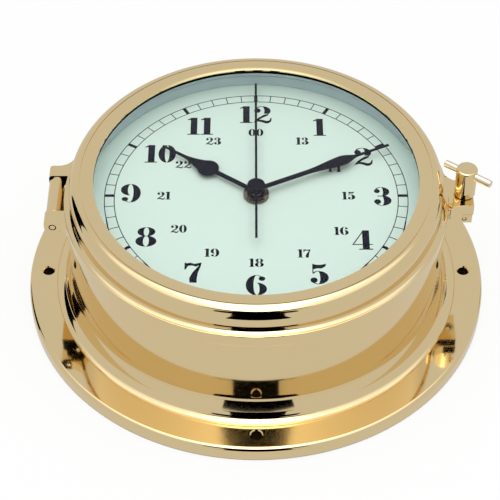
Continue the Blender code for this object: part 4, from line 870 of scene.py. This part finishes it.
class CLOCK_OT_glass(bpy.types.Operator):
    """Bevelled glass with its seal and retaining ring"""

    bl_idname = "clock.glass"
    bl_label = "Glass"

    def execute(self, context):
        s = sizes()
        rim = GLASS_HIGH.z - s.glass_bevel_rise
        flat = s.opening_radius - s.glass_bevel_inset
        profile = [(0, GLASS_HIGH.z), (flat, GLASS_HIGH.z), (flat + s.glass_bevel, rim), (GLASS_HIGH.x, rim),
                   (GLASS_HIGH.x, GLASS_LOW.z), (0, GLASS_LOW.z)]
        glass = lathe("bevelled_glass", profile, s.ring_steps, closed=False)
        keep_flats(glass)
        dress(glass, clear_glass(), "bezel", "glass")
        coat("glass_seal", moulded("seal silicone", colours().wall, 0.6))
        coat("glass_ring", moulded("glass ring white", colours().wall, 0.4))
        return {"FINISHED"}


# Latch


def screw_profile():
    """Section of the T-screw: rounded head, fine threads, and the groove for its clip."""
    top = LATCH_HIGH.z
    foot = LATCH_LOW.z
    radius = LATCH_HIGH.x - LATCH_X
    head_bottom = top - sizes().head_height
    rounding = sizes().head_round
    edge = 0.3 * MM
    shank = 1.5 * MM
    pitch = 0.8 * MM
    depth = 0.15 * MM
    thread_end = foot + 5.5 * MM
    groove = 1.1 * MM
    groove_low = foot + 3.4 * MM
    groove_high = foot + 4.4 * MM
    lead = 0.1 * MM
    profile = [(0, top)] + arc((radius - rounding, top - rounding), rounding, 90, 0, 8)
    profile += [(radius, head_bottom + edge), (radius - edge, head_bottom), (shank, head_bottom)]
    turn = head_bottom
    while turn > thread_end:
        turn -= pitch
        profile += [(shank, turn + 0.5 * MM), (shank - depth, turn + 0.25 * MM)]
    profile += [(shank, groove_high), (groove, groove_high - lead), (groove, groove_low + lead),
                (shank, groove_low), (shank, foot + edge), (shank - edge, foot), (0, foot)]
    return profile


def cross_bar():
    """Bar through the screw's head, a little off the head's middle."""
    low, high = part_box("latch_bar")
    middle = (low + high) / 2
    turn = math.radians(-36.3)
    half_length = 11.0      # in millimetres
    end_round = 0.4 * MM
    along = Vector((math.cos(turn), math.sin(turn), 0)) * half_length * MM
    return rounded_rod("cross_bar", (high.z - low.z) / 2, end_round, middle - along, middle + along)


class CLOCK_OT_latch(bpy.types.Operator):
    """T-screw with its cross bar and clip"""

    bl_idname = "clock.latch"
    bl_label = "Latch"

    def execute(self, context):
        screw = lathe("latch_head", screw_profile(), SMALL_STEPS, closed=False)
        screw.location.x = LATCH_X
        bpy.context.view_layer.update()
        dress(screw, polished_brass("latch brass"), "latch", "latch_screw")
        bar_brass = polished_brass("latch bar brass", wear=0.05, roughness=0.12, tone=colours().brass_pale)
        dress(cross_bar(), bar_brass, "latch", "latch_bar")
        coat("latch_clip", bright_steel("clip steel"))
        return {"FINISHED"}


# Dial and its print


class CLOCK_OT_dial(bpy.types.Operator):
    """Enamelled dial with the pale ring round it"""

    bl_idname = "clock.dial"
    bl_label = "Dial"

    def execute(self, context):
        coat("dial_plate", dial_enamel())
        coat("dial_ring", moulded("inner wall", colours().wall, 0.35))
        coat("dial_nut", dark_bronze("nut bronze"))
        return {"FINISHED"}


# Stretch of the digits that are set wider or narrower than drawn
SET_WIDTH = {"1": 0.93, "6": 1.11, "7": 0.92, "8": 1.11, "9": 1.11}

# Optical shifts of the numbers off their circles, by hour: millimetres outwards and degrees clockwise
HOUR_SHIFT = {1: (-0.1, 3.0), 2: (0.7, 2.4), 3: (1.8, 0.4), 4: (-0.5, 0.9), 5: (0.5, 0.7), 8: (0.1, 1.9),
              9: (1.7, 1.6), 10: (-2.6, 2.1), 11: (-1.3, 0.8)}
SMALL_SHIFT = {1: (0.6, 0.6), 2: (-1.4, 3.4), 4: (1.9, 0.7), 7: (-1.0, -1.4), 8: (-1.3, -1.4),
               10: (-2.3, 1.6), 11: (-0.2, 1.4), 12: (0.6, 0)}


# Minute track, numbers and ink
TRACK_INNER = 59.4 * MM
TRACK_OUTER = 63.5 * MM
HAIRLINE = 0.36 * MM
HOUR_MARK = 1.5 * MM        # width of every fifth mark
HOUR_HEIGHT = 11.0 * MM
HOUR_CIRCLE = 51.0 * MM
SMALL_HEIGHT = 4.6 * MM     # of the afternoon hours
SMALL_CIRCLE = 38.7 * MM
INK_DEPTH = 0.01 * MM       # print's underside below the dial's face
INK_HEIGHT = 0.03 * MM      # print's top above the dial's face
MARK_RISE = 0.01 * MM       # marks' top above the track's rings


def bowl(cx, cy, rx, ry, inner, start, end, lift=0.94):
    """Thick side of a round letter form: an ellipse with a slim upright counter cut out of it."""
    return oval(cx, cy, rx, ry, start, end) + oval(cx, cy, inner, ry * lift, end, start)


def both_bowls(cx, cy, rx, ry, inner):
    """Left and right thick sides of a closed round form."""
    return [bowl(cx, cy, rx, ry, inner, 93, 267), bowl(cx, cy, rx, ry, inner, -87, 87)]


def ball(cx, cy, radius):
    """Ball at the end of a hairline."""
    return oval(cx, cy, radius, radius, 0, 345, 23)


def bar(left, bottom, right, top):
    return [(left, bottom), (right, bottom), (right, top), (left, top)]


def turned(outlines, width):
    """A digit turned upside down."""
    return [[(width - x, 1 - y) for x, y in outline] for outline in outlines]


def digit_shapes():
    """Each digit's width and outlines, for a height of one."""
    six = [bowl(0.35, 0.50, 0.35, 0.50, 0.10, 93, 267), bowl(0.36, 0.31, 0.33, 0.31, 0.09, -88, 88),
           bowl(0.35, 0.50, 0.30, 0.50, 0.24, 50, 90, 0.96), ball(0.53, 0.82, 0.11)]
    return {
        "0": (0.68, both_bowls(0.34, 0.5, 0.34, 0.5, 0.09)),
        "1": (0.52, [bar(0.13, 0.03, 0.41, 1.0), bar(0.0, 0.0, 0.52, 0.05),
                     [(0.0, 0.86), (0.14, 0.88), (0.14, 1.0), (0.10, 0.95), (0.0, 0.91)]]),
        "2": (0.74, [ball(0.17, 0.74, 0.13), bowl(0.35, 0.72, 0.35, 0.28, 0.10, -38, 88),
                     bowl(0.35, 0.72, 0.31, 0.28, 0.24, 90, 150, 0.90),
                     [(0.62, 0.55), (0.44, 0.50), (0.20, 0.30), (0.05, 0.10), (0.05, 0.03), (0.12, 0.09),
                      (0.36, 0.30), (0.58, 0.44)],
                     [(0.0, 0.0), (0.08, 0.10), (0.22, 0.20), (0.38, 0.18), (0.54, 0.12), (0.64, 0.15),
                      (0.70, 0.30), (0.74, 0.30), (0.72, 0.10), (0.62, -0.01), (0.50, -0.03), (0.34, 0.05),
                      (0.20, 0.09), (0.08, 0.04)]]),
        "3": (0.68, [ball(0.15, 0.78, 0.11), ball(0.15, 0.21, 0.13),
                     bowl(0.31, 0.75, 0.31, 0.25, 0.07, -85, 88), bowl(0.31, 0.27, 0.37, 0.28, 0.08, -88, 80),
                     bowl(0.31, 0.75, 0.27, 0.25, 0.20, 90, 150, 0.90),
                     bowl(0.31, 0.27, 0.29, 0.28, 0.22, 210, 270, 0.90), bar(0.16, 0.49, 0.40, 0.53)]),
        "4": (0.76, [bar(0.38, 0.03, 0.64, 1.0), bar(0.24, 0.0, 0.76, 0.05), bar(0.0, 0.25, 0.38, 0.29),
                     bar(0.64, 0.25, 0.76, 0.29), [(0.0, 0.27), (0.05, 0.27), (0.38, 0.86), (0.38, 0.94)]]),
        "5": (0.68, [[(0.12, 0.72), (0.12, 1.0), (0.24, 0.96), (0.42, 0.96), (0.60, 1.01), (0.57, 0.88),
                      (0.44, 0.78), (0.26, 0.78)], bar(0.09, 0.52, 0.13, 1.0), ball(0.14, 0.19, 0.13),
                     bowl(0.29, 0.32, 0.39, 0.33, 0.08, -88, 100),
                     bowl(0.29, 0.32, 0.29, 0.33, 0.22, 205, 270, 0.92),
                     bowl(0.29, 0.32, 0.26, 0.33, 0.20, 100, 140, 0.90)]),
        "6": (0.70, six),
        "7": (0.68, [[(0.0, 0.66), (0.0, 1.0), (0.05, 1.0), (0.09, 0.96), (0.22, 1.0), (0.40, 0.94),
                      (0.62, 1.0), (0.68, 1.0), (0.60, 0.88), (0.46, 0.80), (0.30, 0.86), (0.14, 0.84),
                      (0.05, 0.66)],
                     [(0.68, 1.0), (0.52, 0.78), (0.32, 0.50), (0.20, 0.22), (0.22, 0.0), (0.50, 0.0),
                      (0.50, 0.20), (0.54, 0.50), (0.64, 0.80)]]),
        "8": (0.70, both_bowls(0.35, 0.76, 0.30, 0.24, 0.09) + both_bowls(0.35, 0.27, 0.35, 0.28, 0.10)),
        "9": (0.70, turned(six, 0.70)),
    }


def number_outlines(text, height, centre):
    """Outlines of a number set upright about a centre."""
    shapes = digit_shapes()
    space = 0.04
    width = sum(shapes[letter][0] * SET_WIDTH.get(letter, 1) for letter in text) + space * (len(text) - 1)
    left = -width / 2
    outlines = []
    for letter in text:
        advance, parts = shapes[letter]
        stretch = SET_WIDTH.get(letter, 1)
        for part in parts:
            outlines.append([(centre[0] + (left + x * stretch) * height, centre[1] + (y - 0.5) * height)
                             for x, y in part])
        left += advance * stretch + space
    return outlines


def place_number(number, circle, shift):
    """Centre of a number: its place on the circle, moved out and clockwise by its optical shift."""
    out, clockwise = shift.get(number, (0, 0))
    turn = math.radians(90 - 30 * number - clockwise)
    radius = circle + out * MM
    return (radius * math.cos(turn), radius * math.sin(turn))


def minute_track(bottom, top):
    """Two hairline rings joined by a mark at each minute; the marks stand a touch above the rings."""
    ring_steps = 240
    track = bmesh.new()
    for radius in (TRACK_INNER, TRACK_OUTER):
        inside, outside = radius - HAIRLINE / 2, radius + HAIRLINE / 2
        add_turned(track, [(inside, bottom), (outside, bottom), (outside, top), (inside, top)], ring_steps)
    for minute in range(60):
        turn = math.radians(90 - 6 * minute)
        half = (HOUR_MARK if minute % 5 == 0 else HAIRLINE) / 2
        along = Vector((math.cos(turn), math.sin(turn)))
        across = Vector((-along.y, along.x)) * half
        corners = [along * TRACK_INNER - across, along * TRACK_OUTER - across,
                   along * TRACK_OUTER + across, along * TRACK_INNER + across]
        add_prism(track, [tuple(corner) for corner in corners], bottom, top + MARK_RISE)
    return piece_from("minute_track", track)


def numerals(bottom, top):
    """The hours, and inside them the afternoon hours, smaller."""
    numbers = bmesh.new()
    for hour in range(1, 13):
        afternoon = str(hour + 12) if hour < 12 else "00"
        outlines = number_outlines(str(hour), HOUR_HEIGHT, place_number(hour, HOUR_CIRCLE, HOUR_SHIFT))
        outlines += number_outlines(afternoon, SMALL_HEIGHT, place_number(hour, SMALL_CIRCLE, SMALL_SHIFT))
        for outline in outlines:
            add_prism(numbers, outline, bottom, top)
    return piece_from("dial_numerals", numbers)


class CLOCK_OT_print(bpy.types.Operator):
    """Minute track, hour numerals and the smaller afternoon hours"""

    bl_idname = "clock.print"
    bl_label = "Dial print"

    def execute(self, context):
        bottom = DIAL_TOP - INK_DEPTH
        top = DIAL_TOP + INK_HEIGHT
        ink = lacquer("dial ink", 0.4)
        for piece in (minute_track(bottom, top), numerals(bottom, top)):
            dress(piece, ink, "case")
        return {"FINISHED"}


# Hands: radii of their bosses and bores, and their cap

HOUR_BOSS, HOUR_BORE = 3.6 * MM, 2.5 * MM
MINUTE_BOSS, MINUTE_BORE = 3.0 * MM, 1.5 * MM
SECOND_BOSS, ARBOR_BORE = 2.2 * MM, 0.55 * MM
CAP_ROUND = 0.35 * MM
CAP_SOCKET = 1.3 * MM       # depth of the hole for the arbor


def ease(share):
    """Smooth step from 0 to 1."""
    return share * share * (3 - 2 * share)


def pear_stations():
    """Hour hand as (distance, half width) pairs: shaft, round pear, hollow taper and tip."""
    h = hand_sizes()
    entry = math.sqrt(h.pear_radius ** 2 - h.hour_shaft ** 2)
    stations = [(0, h.hour_shaft), (h.pear_centre - entry, h.hour_shaft)]
    for degrees in range(160, 44, -5):
        turn = math.radians(degrees)
        stations.append((h.pear_centre + h.pear_radius * math.cos(turn), h.pear_radius * math.sin(turn)))
    start, wide = stations[-1]
    taper_steps = 12
    hollow = 1.8
    for index in range(1, taper_steps + 1):
        share = index / taper_steps
        half = h.pear_neck + (wide - h.pear_neck) * (1 - share) ** hollow
        stations.append((start + h.pear_taper * share, half))
    stations.append((h.hour_length, h.hour_tip))
    return stations


def leaf_stations():
    """Minute hand as (distance, half width) pairs: shaft, leaf and long thin tip."""
    h = hand_sizes()
    stations = [(0, h.minute_shaft)]
    swell_steps = 16
    for index in range(swell_steps + 1):
        share = index / swell_steps
        stations.append((h.leaf_start + (h.leaf_widest - h.leaf_start) * share,
                         h.minute_shaft + (h.leaf_half - h.minute_shaft) * ease(share)))
    fall_steps = 12
    for index in range(1, fall_steps + 1):
        share = index / fall_steps
        stations.append((h.leaf_widest + (h.leaf_end - h.leaf_widest) * share,
                         h.minute_tip + (h.leaf_half - h.minute_tip) * (1 - ease(share))))
    stations.append((h.minute_length, h.minute_tip))
    return stations


def flat_hand(name, stations, boss, bore, node, clockwise=0):
    """Stamped hand with its boss and bore, at its node's height and turned to where it points."""
    low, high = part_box(node)
    outline = [(half, along) for along, half in stations]
    outline += [(-half, along) for along, half in reversed(stations)]
    hand = prism(name, outline, low.z, high.z)
    join(hand, prism("boss", circle_outline(boss, 64), low.z, high.z))
    cut(hand, prism("bore", circle_outline(bore, 48), low.z - MM, high.z + MM))
    hand.data.transform(Matrix.Rotation(-clockwise, 4, "Z"))
    break_edges(hand, hand_sizes().hand_edge)
    return hand


def domed_cap():
    """Cap over the bosses, with a low dome and the socket for the arbor."""
    low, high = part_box("hub_cap")
    radius = high.x
    crown = hand_sizes().cap_crown
    sphere = (radius ** 2 + crown ** 2) / (2 * crown)
    dome_steps = 12
    profile = []
    for index in range(dome_steps + 1):
        along = (radius - CAP_ROUND) * index / dome_steps
        profile.append((along, high.z - sphere + math.sqrt(sphere ** 2 - along ** 2)))
    edge = profile[-1][1]
    profile += arc((radius - CAP_ROUND, edge - CAP_ROUND), CAP_ROUND, 75, 0, 5)
    profile += [(radius, low.z), (ARBOR_BORE, low.z), (ARBOR_BORE, low.z + CAP_SOCKET),
                (0, low.z + CAP_SOCKET)]
    return lathe("domed_cap", profile, SMALL_STEPS, closed=False)


class CLOCK_OT_hands(bpy.types.Operator):
    """Lacquered hands and hub cap"""

    bl_idname = "clock.hands"
    bl_label = "Hands"

    def execute(self, context):
        h = hand_sizes()
        low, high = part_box("second_hand")
        needle = [(low.y, h.second_half), (high.y, h.second_half)]
        hour = flat_hand("hour_pear", pear_stations(), HOUR_BOSS, HOUR_BORE, "hour_hand", h.hour_turn)
        minute = flat_hand("minute_leaf", leaf_stations(), MINUTE_BOSS, MINUTE_BORE, "minute_hand",
                           h.minute_turn)
        second = flat_hand("second_needle", needle, SECOND_BOSS, ARBOR_BORE, "second_hand")
        dress(hour, lacquer("hour hand lacquer"), "hours", "hour_hand")
        dress(minute, lacquer("minute hand lacquer"), "minutes", "minute_hand")
        dress(second, lacquer("second hand lacquer"), "seconds", "second_hand")
        dress(domed_cap(), lacquer("cap lacquer"), "seconds", "hub_cap")
        return {"FINISHED"}


# Movement


class CLOCK_OT_movement(bpy.types.Operator):
    """Quartz movement behind the dial"""

    bl_idname = "clock.movement"
    bl_label = "Movement"

    def execute(self, context):
        for node in ("movement_front", "movement_back", "setting_knob"):
            coat(node, moulded(f"{node} plastic", colours().housing))
        for node in ("step_wheel", "second_wheel", "third_wheel", "motion_wheel", "hour_wheel"):
            coat(node, moulded(f"{node} plastic", colours().wheels, 0.35))
        for node in ("train_bridge", "centre_wheel", "minute_pipe"):
            coat(node, polished_brass(f"{node} brass", 0.4, 0.1, 0.15))
        for node in ("crystal_can", "stator", "contact_plus", "contact_minus"):
            coat(node, bright_steel(f"{node} steel"))
        coat("rotor", moulded("rotor magnet", colours().magnet, 0.35))
        coat("coil", copper_wire())
        coat("circuit_board", moulded("board resist", colours().board, 0.35, 900.0))
        coat("battery", moulded("cell jacket", colours().cell, 0.3, 600.0))
        return {"FINISHED"}


# Studio, in metres

FLOOR_HALF = 4.0
FLOOR_DROP = 0.2 * MM   # keeps the floor clear of the flange's back
LAMP_DEPTH = 1.0
SOFTBOX_LAMP_Y = -0.08
SOFTBOX_LAMP_WIDTH = 1.3
FILL_PLACE = (0, 0.9, 1.3)
FILL_WIDTH = 1.6
LAMP_TARGET = Vector((0, 0, 0.05))
CARD_LOW = 0.001        # lower edge of the flags, just above the floor
FLAG_X = 0.45
STAND_Y = -0.60
SOFTBOX_NEAR, SOFTBOX_FAR = -0.95, 0.70
WHITE = (1, 1, 1)
BLACK = (0, 0, 0)

# Outlines of the black cards: across and up, along and up, or across and along
STAND = ((-0.13, 0.0), (0.15, 0.0), (0.15, 0.30), (0.24, 0.32), (0.24, 0.50), (0.14, 0.56), (0.14, 0.60),
         (0.30, 0.70), (0.42, 0.80), (0.42, 0.83), (0.28, 0.81), (-0.28, 0.81), (-0.42, 0.83), (-0.42, 0.80),
         (-0.30, 0.70), (-0.14, 0.60), (-0.14, 0.56), (-0.25, 0.50), (-0.24, 0.32), (-0.13, 0.30))
FLAG_LEFT = ((0.09, CARD_LOW), (0.28, CARD_LOW), (0.25, 0.36), (0.17, 0.36))
FLAG_RIGHT = ((0.15, CARD_LOW), (0.28, CARD_LOW), (0.22, 0.07))
STAND_FOOT = ((-0.035, -0.150), (0.040, -0.150), (0.15, STAND_Y), (-0.13, STAND_Y))


def lamp(name, power, place, width):
    """Area lamp that faces the clock; metal sees the cards in its place."""
    light = bpy.data.lights.new(name, "AREA")
    light.shape = "RECTANGLE"
    light.size = width
    light.size_y = LAMP_DEPTH
    light.energy = power
    item = bpy.data.objects.new(name, light)
    item.location = place
    item.rotation_euler = (LAMP_TARGET - Vector(place)).to_track_quat("-Z", "Y").to_euler()
    item.visible_glossy = False
    bpy.context.scene.collection.objects.link(item)


def bar_corners(left, near, right, far, height):
    """Corners of a level rectangle."""
    return [(x, y, height) for x, y in bar(left, near, right, far)]


def sheet(name, corners, material):
    """Flat piece of the studio."""
    shape = bmesh.new()
    shape.faces.new([shape.verts.new(corner) for corner in corners])
    item = piece_from(name, shape)
    item.data.materials.append(material)
    return item


def card(name, corners, material):
    """Flat card that only polished surfaces see."""
    item = sheet(name, corners, material)
    for ray in ("camera", "diffuse", "shadow", "transmission"):
        setattr(item, f"visible_{ray}", False)


def black_cloth():
    """Black of the cards."""
    material = bpy.data.materials.new("black cloth")
    tree = Tree(material)
    tree.end(tree.glow(BLACK))
    return material


def softbox_cloth():
    """Softbox as metal and glass see it: bright in the middle, with a long fade to its edges."""
    settings = studio()
    material = bpy.data.materials.new("softbox cloth")
    tree = Tree(material)
    across, along, _ = tree.axes()
    edge = settings.surround / settings.softbox_glow
    aside = tree.math("ABSOLUTE", across) * (1 / settings.softbox_half)
    sides = tree.node("ShaderNodeValToRGB", {"Fac": aside}, output="Color", stops=(
        (0.0, 1.0), (0.10, 1.0), (0.22, 0.48), (0.40, 0.38), (0.65, 0.30), (1.0, edge)))
    front_end, front_start = 0.92, 0.60
    back_end, back_start = 0.56, 0.33
    front = tree.fade(tree.diagonal(across, along), front_end, front_start)
    back = tree.fade(along, back_end, back_start)
    tree.end(tree.glow((sides - edge) * (front * back) + edge, settings.softbox_glow))
    return material


def make_world():
    """White surround: full white to the camera, a little lower in metal, lower still on matt surfaces."""
    world = bpy.data.worlds.new("studio surround")
    bpy.context.scene.world = world
    tree = Tree(world)
    ambient = studio().ambient
    direct = (tree.ray("Camera") + tree.ray("Transmission")) * (1 - ambient)
    strength = direct + tree.ray("Glossy") * (studio().surround - ambient) + ambient
    glow = tree.node("ShaderNodeBackground", {"Color": WHITE, "Strength": strength})
    tree.node("ShaderNodeOutputWorld", {"Surface": glow})


def floor_paper():
    """Pale paper that stays white in the picture, keeps a faint shadow, and has a painted shadow: it is dark
    under the clock.
    """
    material = bpy.data.materials.new("floor paper")
    tree = Tree(material)
    mirrored = tree.ray("Glossy")
    through = tree.ray("Transmission")
    away = tree.node("ShaderNodeVectorMath", {0: tree.place()}, output="Value", operation="LENGTH")
    clear = tree.math("GREATER_THAN", away, FLANGE_RADIUS)
    # Painted shadow: the paper is near-black in a disc just inside the flange's edge, under the clock.
    shadow_disc_radius = 0.98 * FLANGE_RADIUS
    pale, dark = (0.90, 0.90, 0.90), (0.02, 0.018, 0.015)
    bleach = 0.85
    colour = tree.mix(tree.math("LESS_THAN", away, shadow_disc_radius), pale, dark)
    paper = tree.node("ShaderNodeBsdfDiffuse", {"Color": colour})
    whitened = (tree.ray("Camera") + through) * clear * bleach
    lit = tree.cross(whitened, paper, tree.glow(WHITE))
    tree.end(tree.cross(mirrored * clear * (1 - through), lit, tree.glow(WHITE, studio().surround)))
    return material


def make_camera():
    settings = studio()
    lens = bpy.data.cameras.new("camera")
    lens.lens = settings.lens
    lens.sensor_width = 36
    camera = bpy.data.objects.new("camera", lens)
    back = Vector((0, -math.cos(settings.elevation), math.sin(settings.elevation)))
    camera.location = Vector(settings.aim) + back * settings.distance
    camera.rotation_euler = (-back).to_track_quat("-Z", "Y").to_euler()
    bpy.context.scene.collection.objects.link(camera)
    bpy.context.scene.camera = camera


class CLOCK_OT_stage(bpy.types.Operator):
    """Camera, floor, surround, lamps and cards"""

    bl_idname = "clock.stage"
    bl_label = "Stage"

    def execute(self, context):
        make_camera()
        context.scene.view_settings.view_transform = "Standard"
        make_world()
        corners = bar_corners(-FLOOR_HALF, -FLOOR_HALF, FLOOR_HALF, FLOOR_HALF, 0)
        floor = sheet("floor", corners, floor_paper())
        floor.location.z = -FLOOR_DROP

        settings = studio()
        half = settings.softbox_half
        height = settings.softbox_height
        card("softbox_glow", bar_corners(-half, SOFTBOX_NEAR, half, SOFTBOX_FAR, height), softbox_cloth())
        lamp("softbox", settings.softbox_power, (0, SOFTBOX_LAMP_Y, height), SOFTBOX_LAMP_WIDTH)
        lamp("fill", settings.fill_power, FILL_PLACE, FILL_WIDTH)

        black = black_cloth()
        card("camera_stand", [(x, STAND_Y, z) for x, z in STAND], black)
        card("flag_left", [(-FLAG_X, y, z) for y, z in FLAG_LEFT], black)
        card("flag_right", [(FLAG_X, y, z) for y, z in FLAG_RIGHT], black)
        card("stand_foot", [(x, y, CARD_LOW) for x, y in STAND_FOOT], black)
        return {"FINISHED"}


class CLOCK_PT_panel(bpy.types.Panel):
    """Lists the clock's pieces in the sidebar"""

    bl_label = "Clock"
    bl_idname = "CLOCK_PT_panel"
    bl_space_type = "VIEW_3D"
    bl_region_type = "UI"
    bl_category = "Clock"

    def draw(self, context):
        for operator in OPERATORS:
            self.layout.operator(operator.bl_idname)


GROUPS = {"clock_sizes": ClockSizes, "clock_hands": HandSizes, "clock_colours": ClockColours,
          "clock_studio": StudioSettings}
OPERATORS = (CLOCK_OT_case, CLOCK_OT_bezel, CLOCK_OT_glass, CLOCK_OT_latch, CLOCK_OT_dial, CLOCK_OT_print,
             CLOCK_OT_hands, CLOCK_OT_movement, CLOCK_OT_stage)
CLASSES = (*GROUPS.values(), *OPERATORS, CLOCK_PT_panel)


def register():
    for item in CLASSES:
        bpy.utils.register_class(item)
    for name, group in GROUPS.items():
        setattr(bpy.types.Scene, name, PointerProperty(type=group))


def unregister():
    for name in GROUPS:
        delattr(bpy.types.Scene, name)
    for item in reversed(CLASSES):
        bpy.utils.unregister_class(item)


def main():
    register()
    bpy.ops.clock.case()
    bpy.ops.clock.bezel()
    bpy.ops.clock.glass()
    bpy.ops.clock.latch()
    bpy.ops.clock.dial()
    bpy.ops.clock.print()
    bpy.ops.clock.hands()
    bpy.ops.clock.movement()
    bpy.ops.clock.stage()


if __name__ == "__main__":
    main()
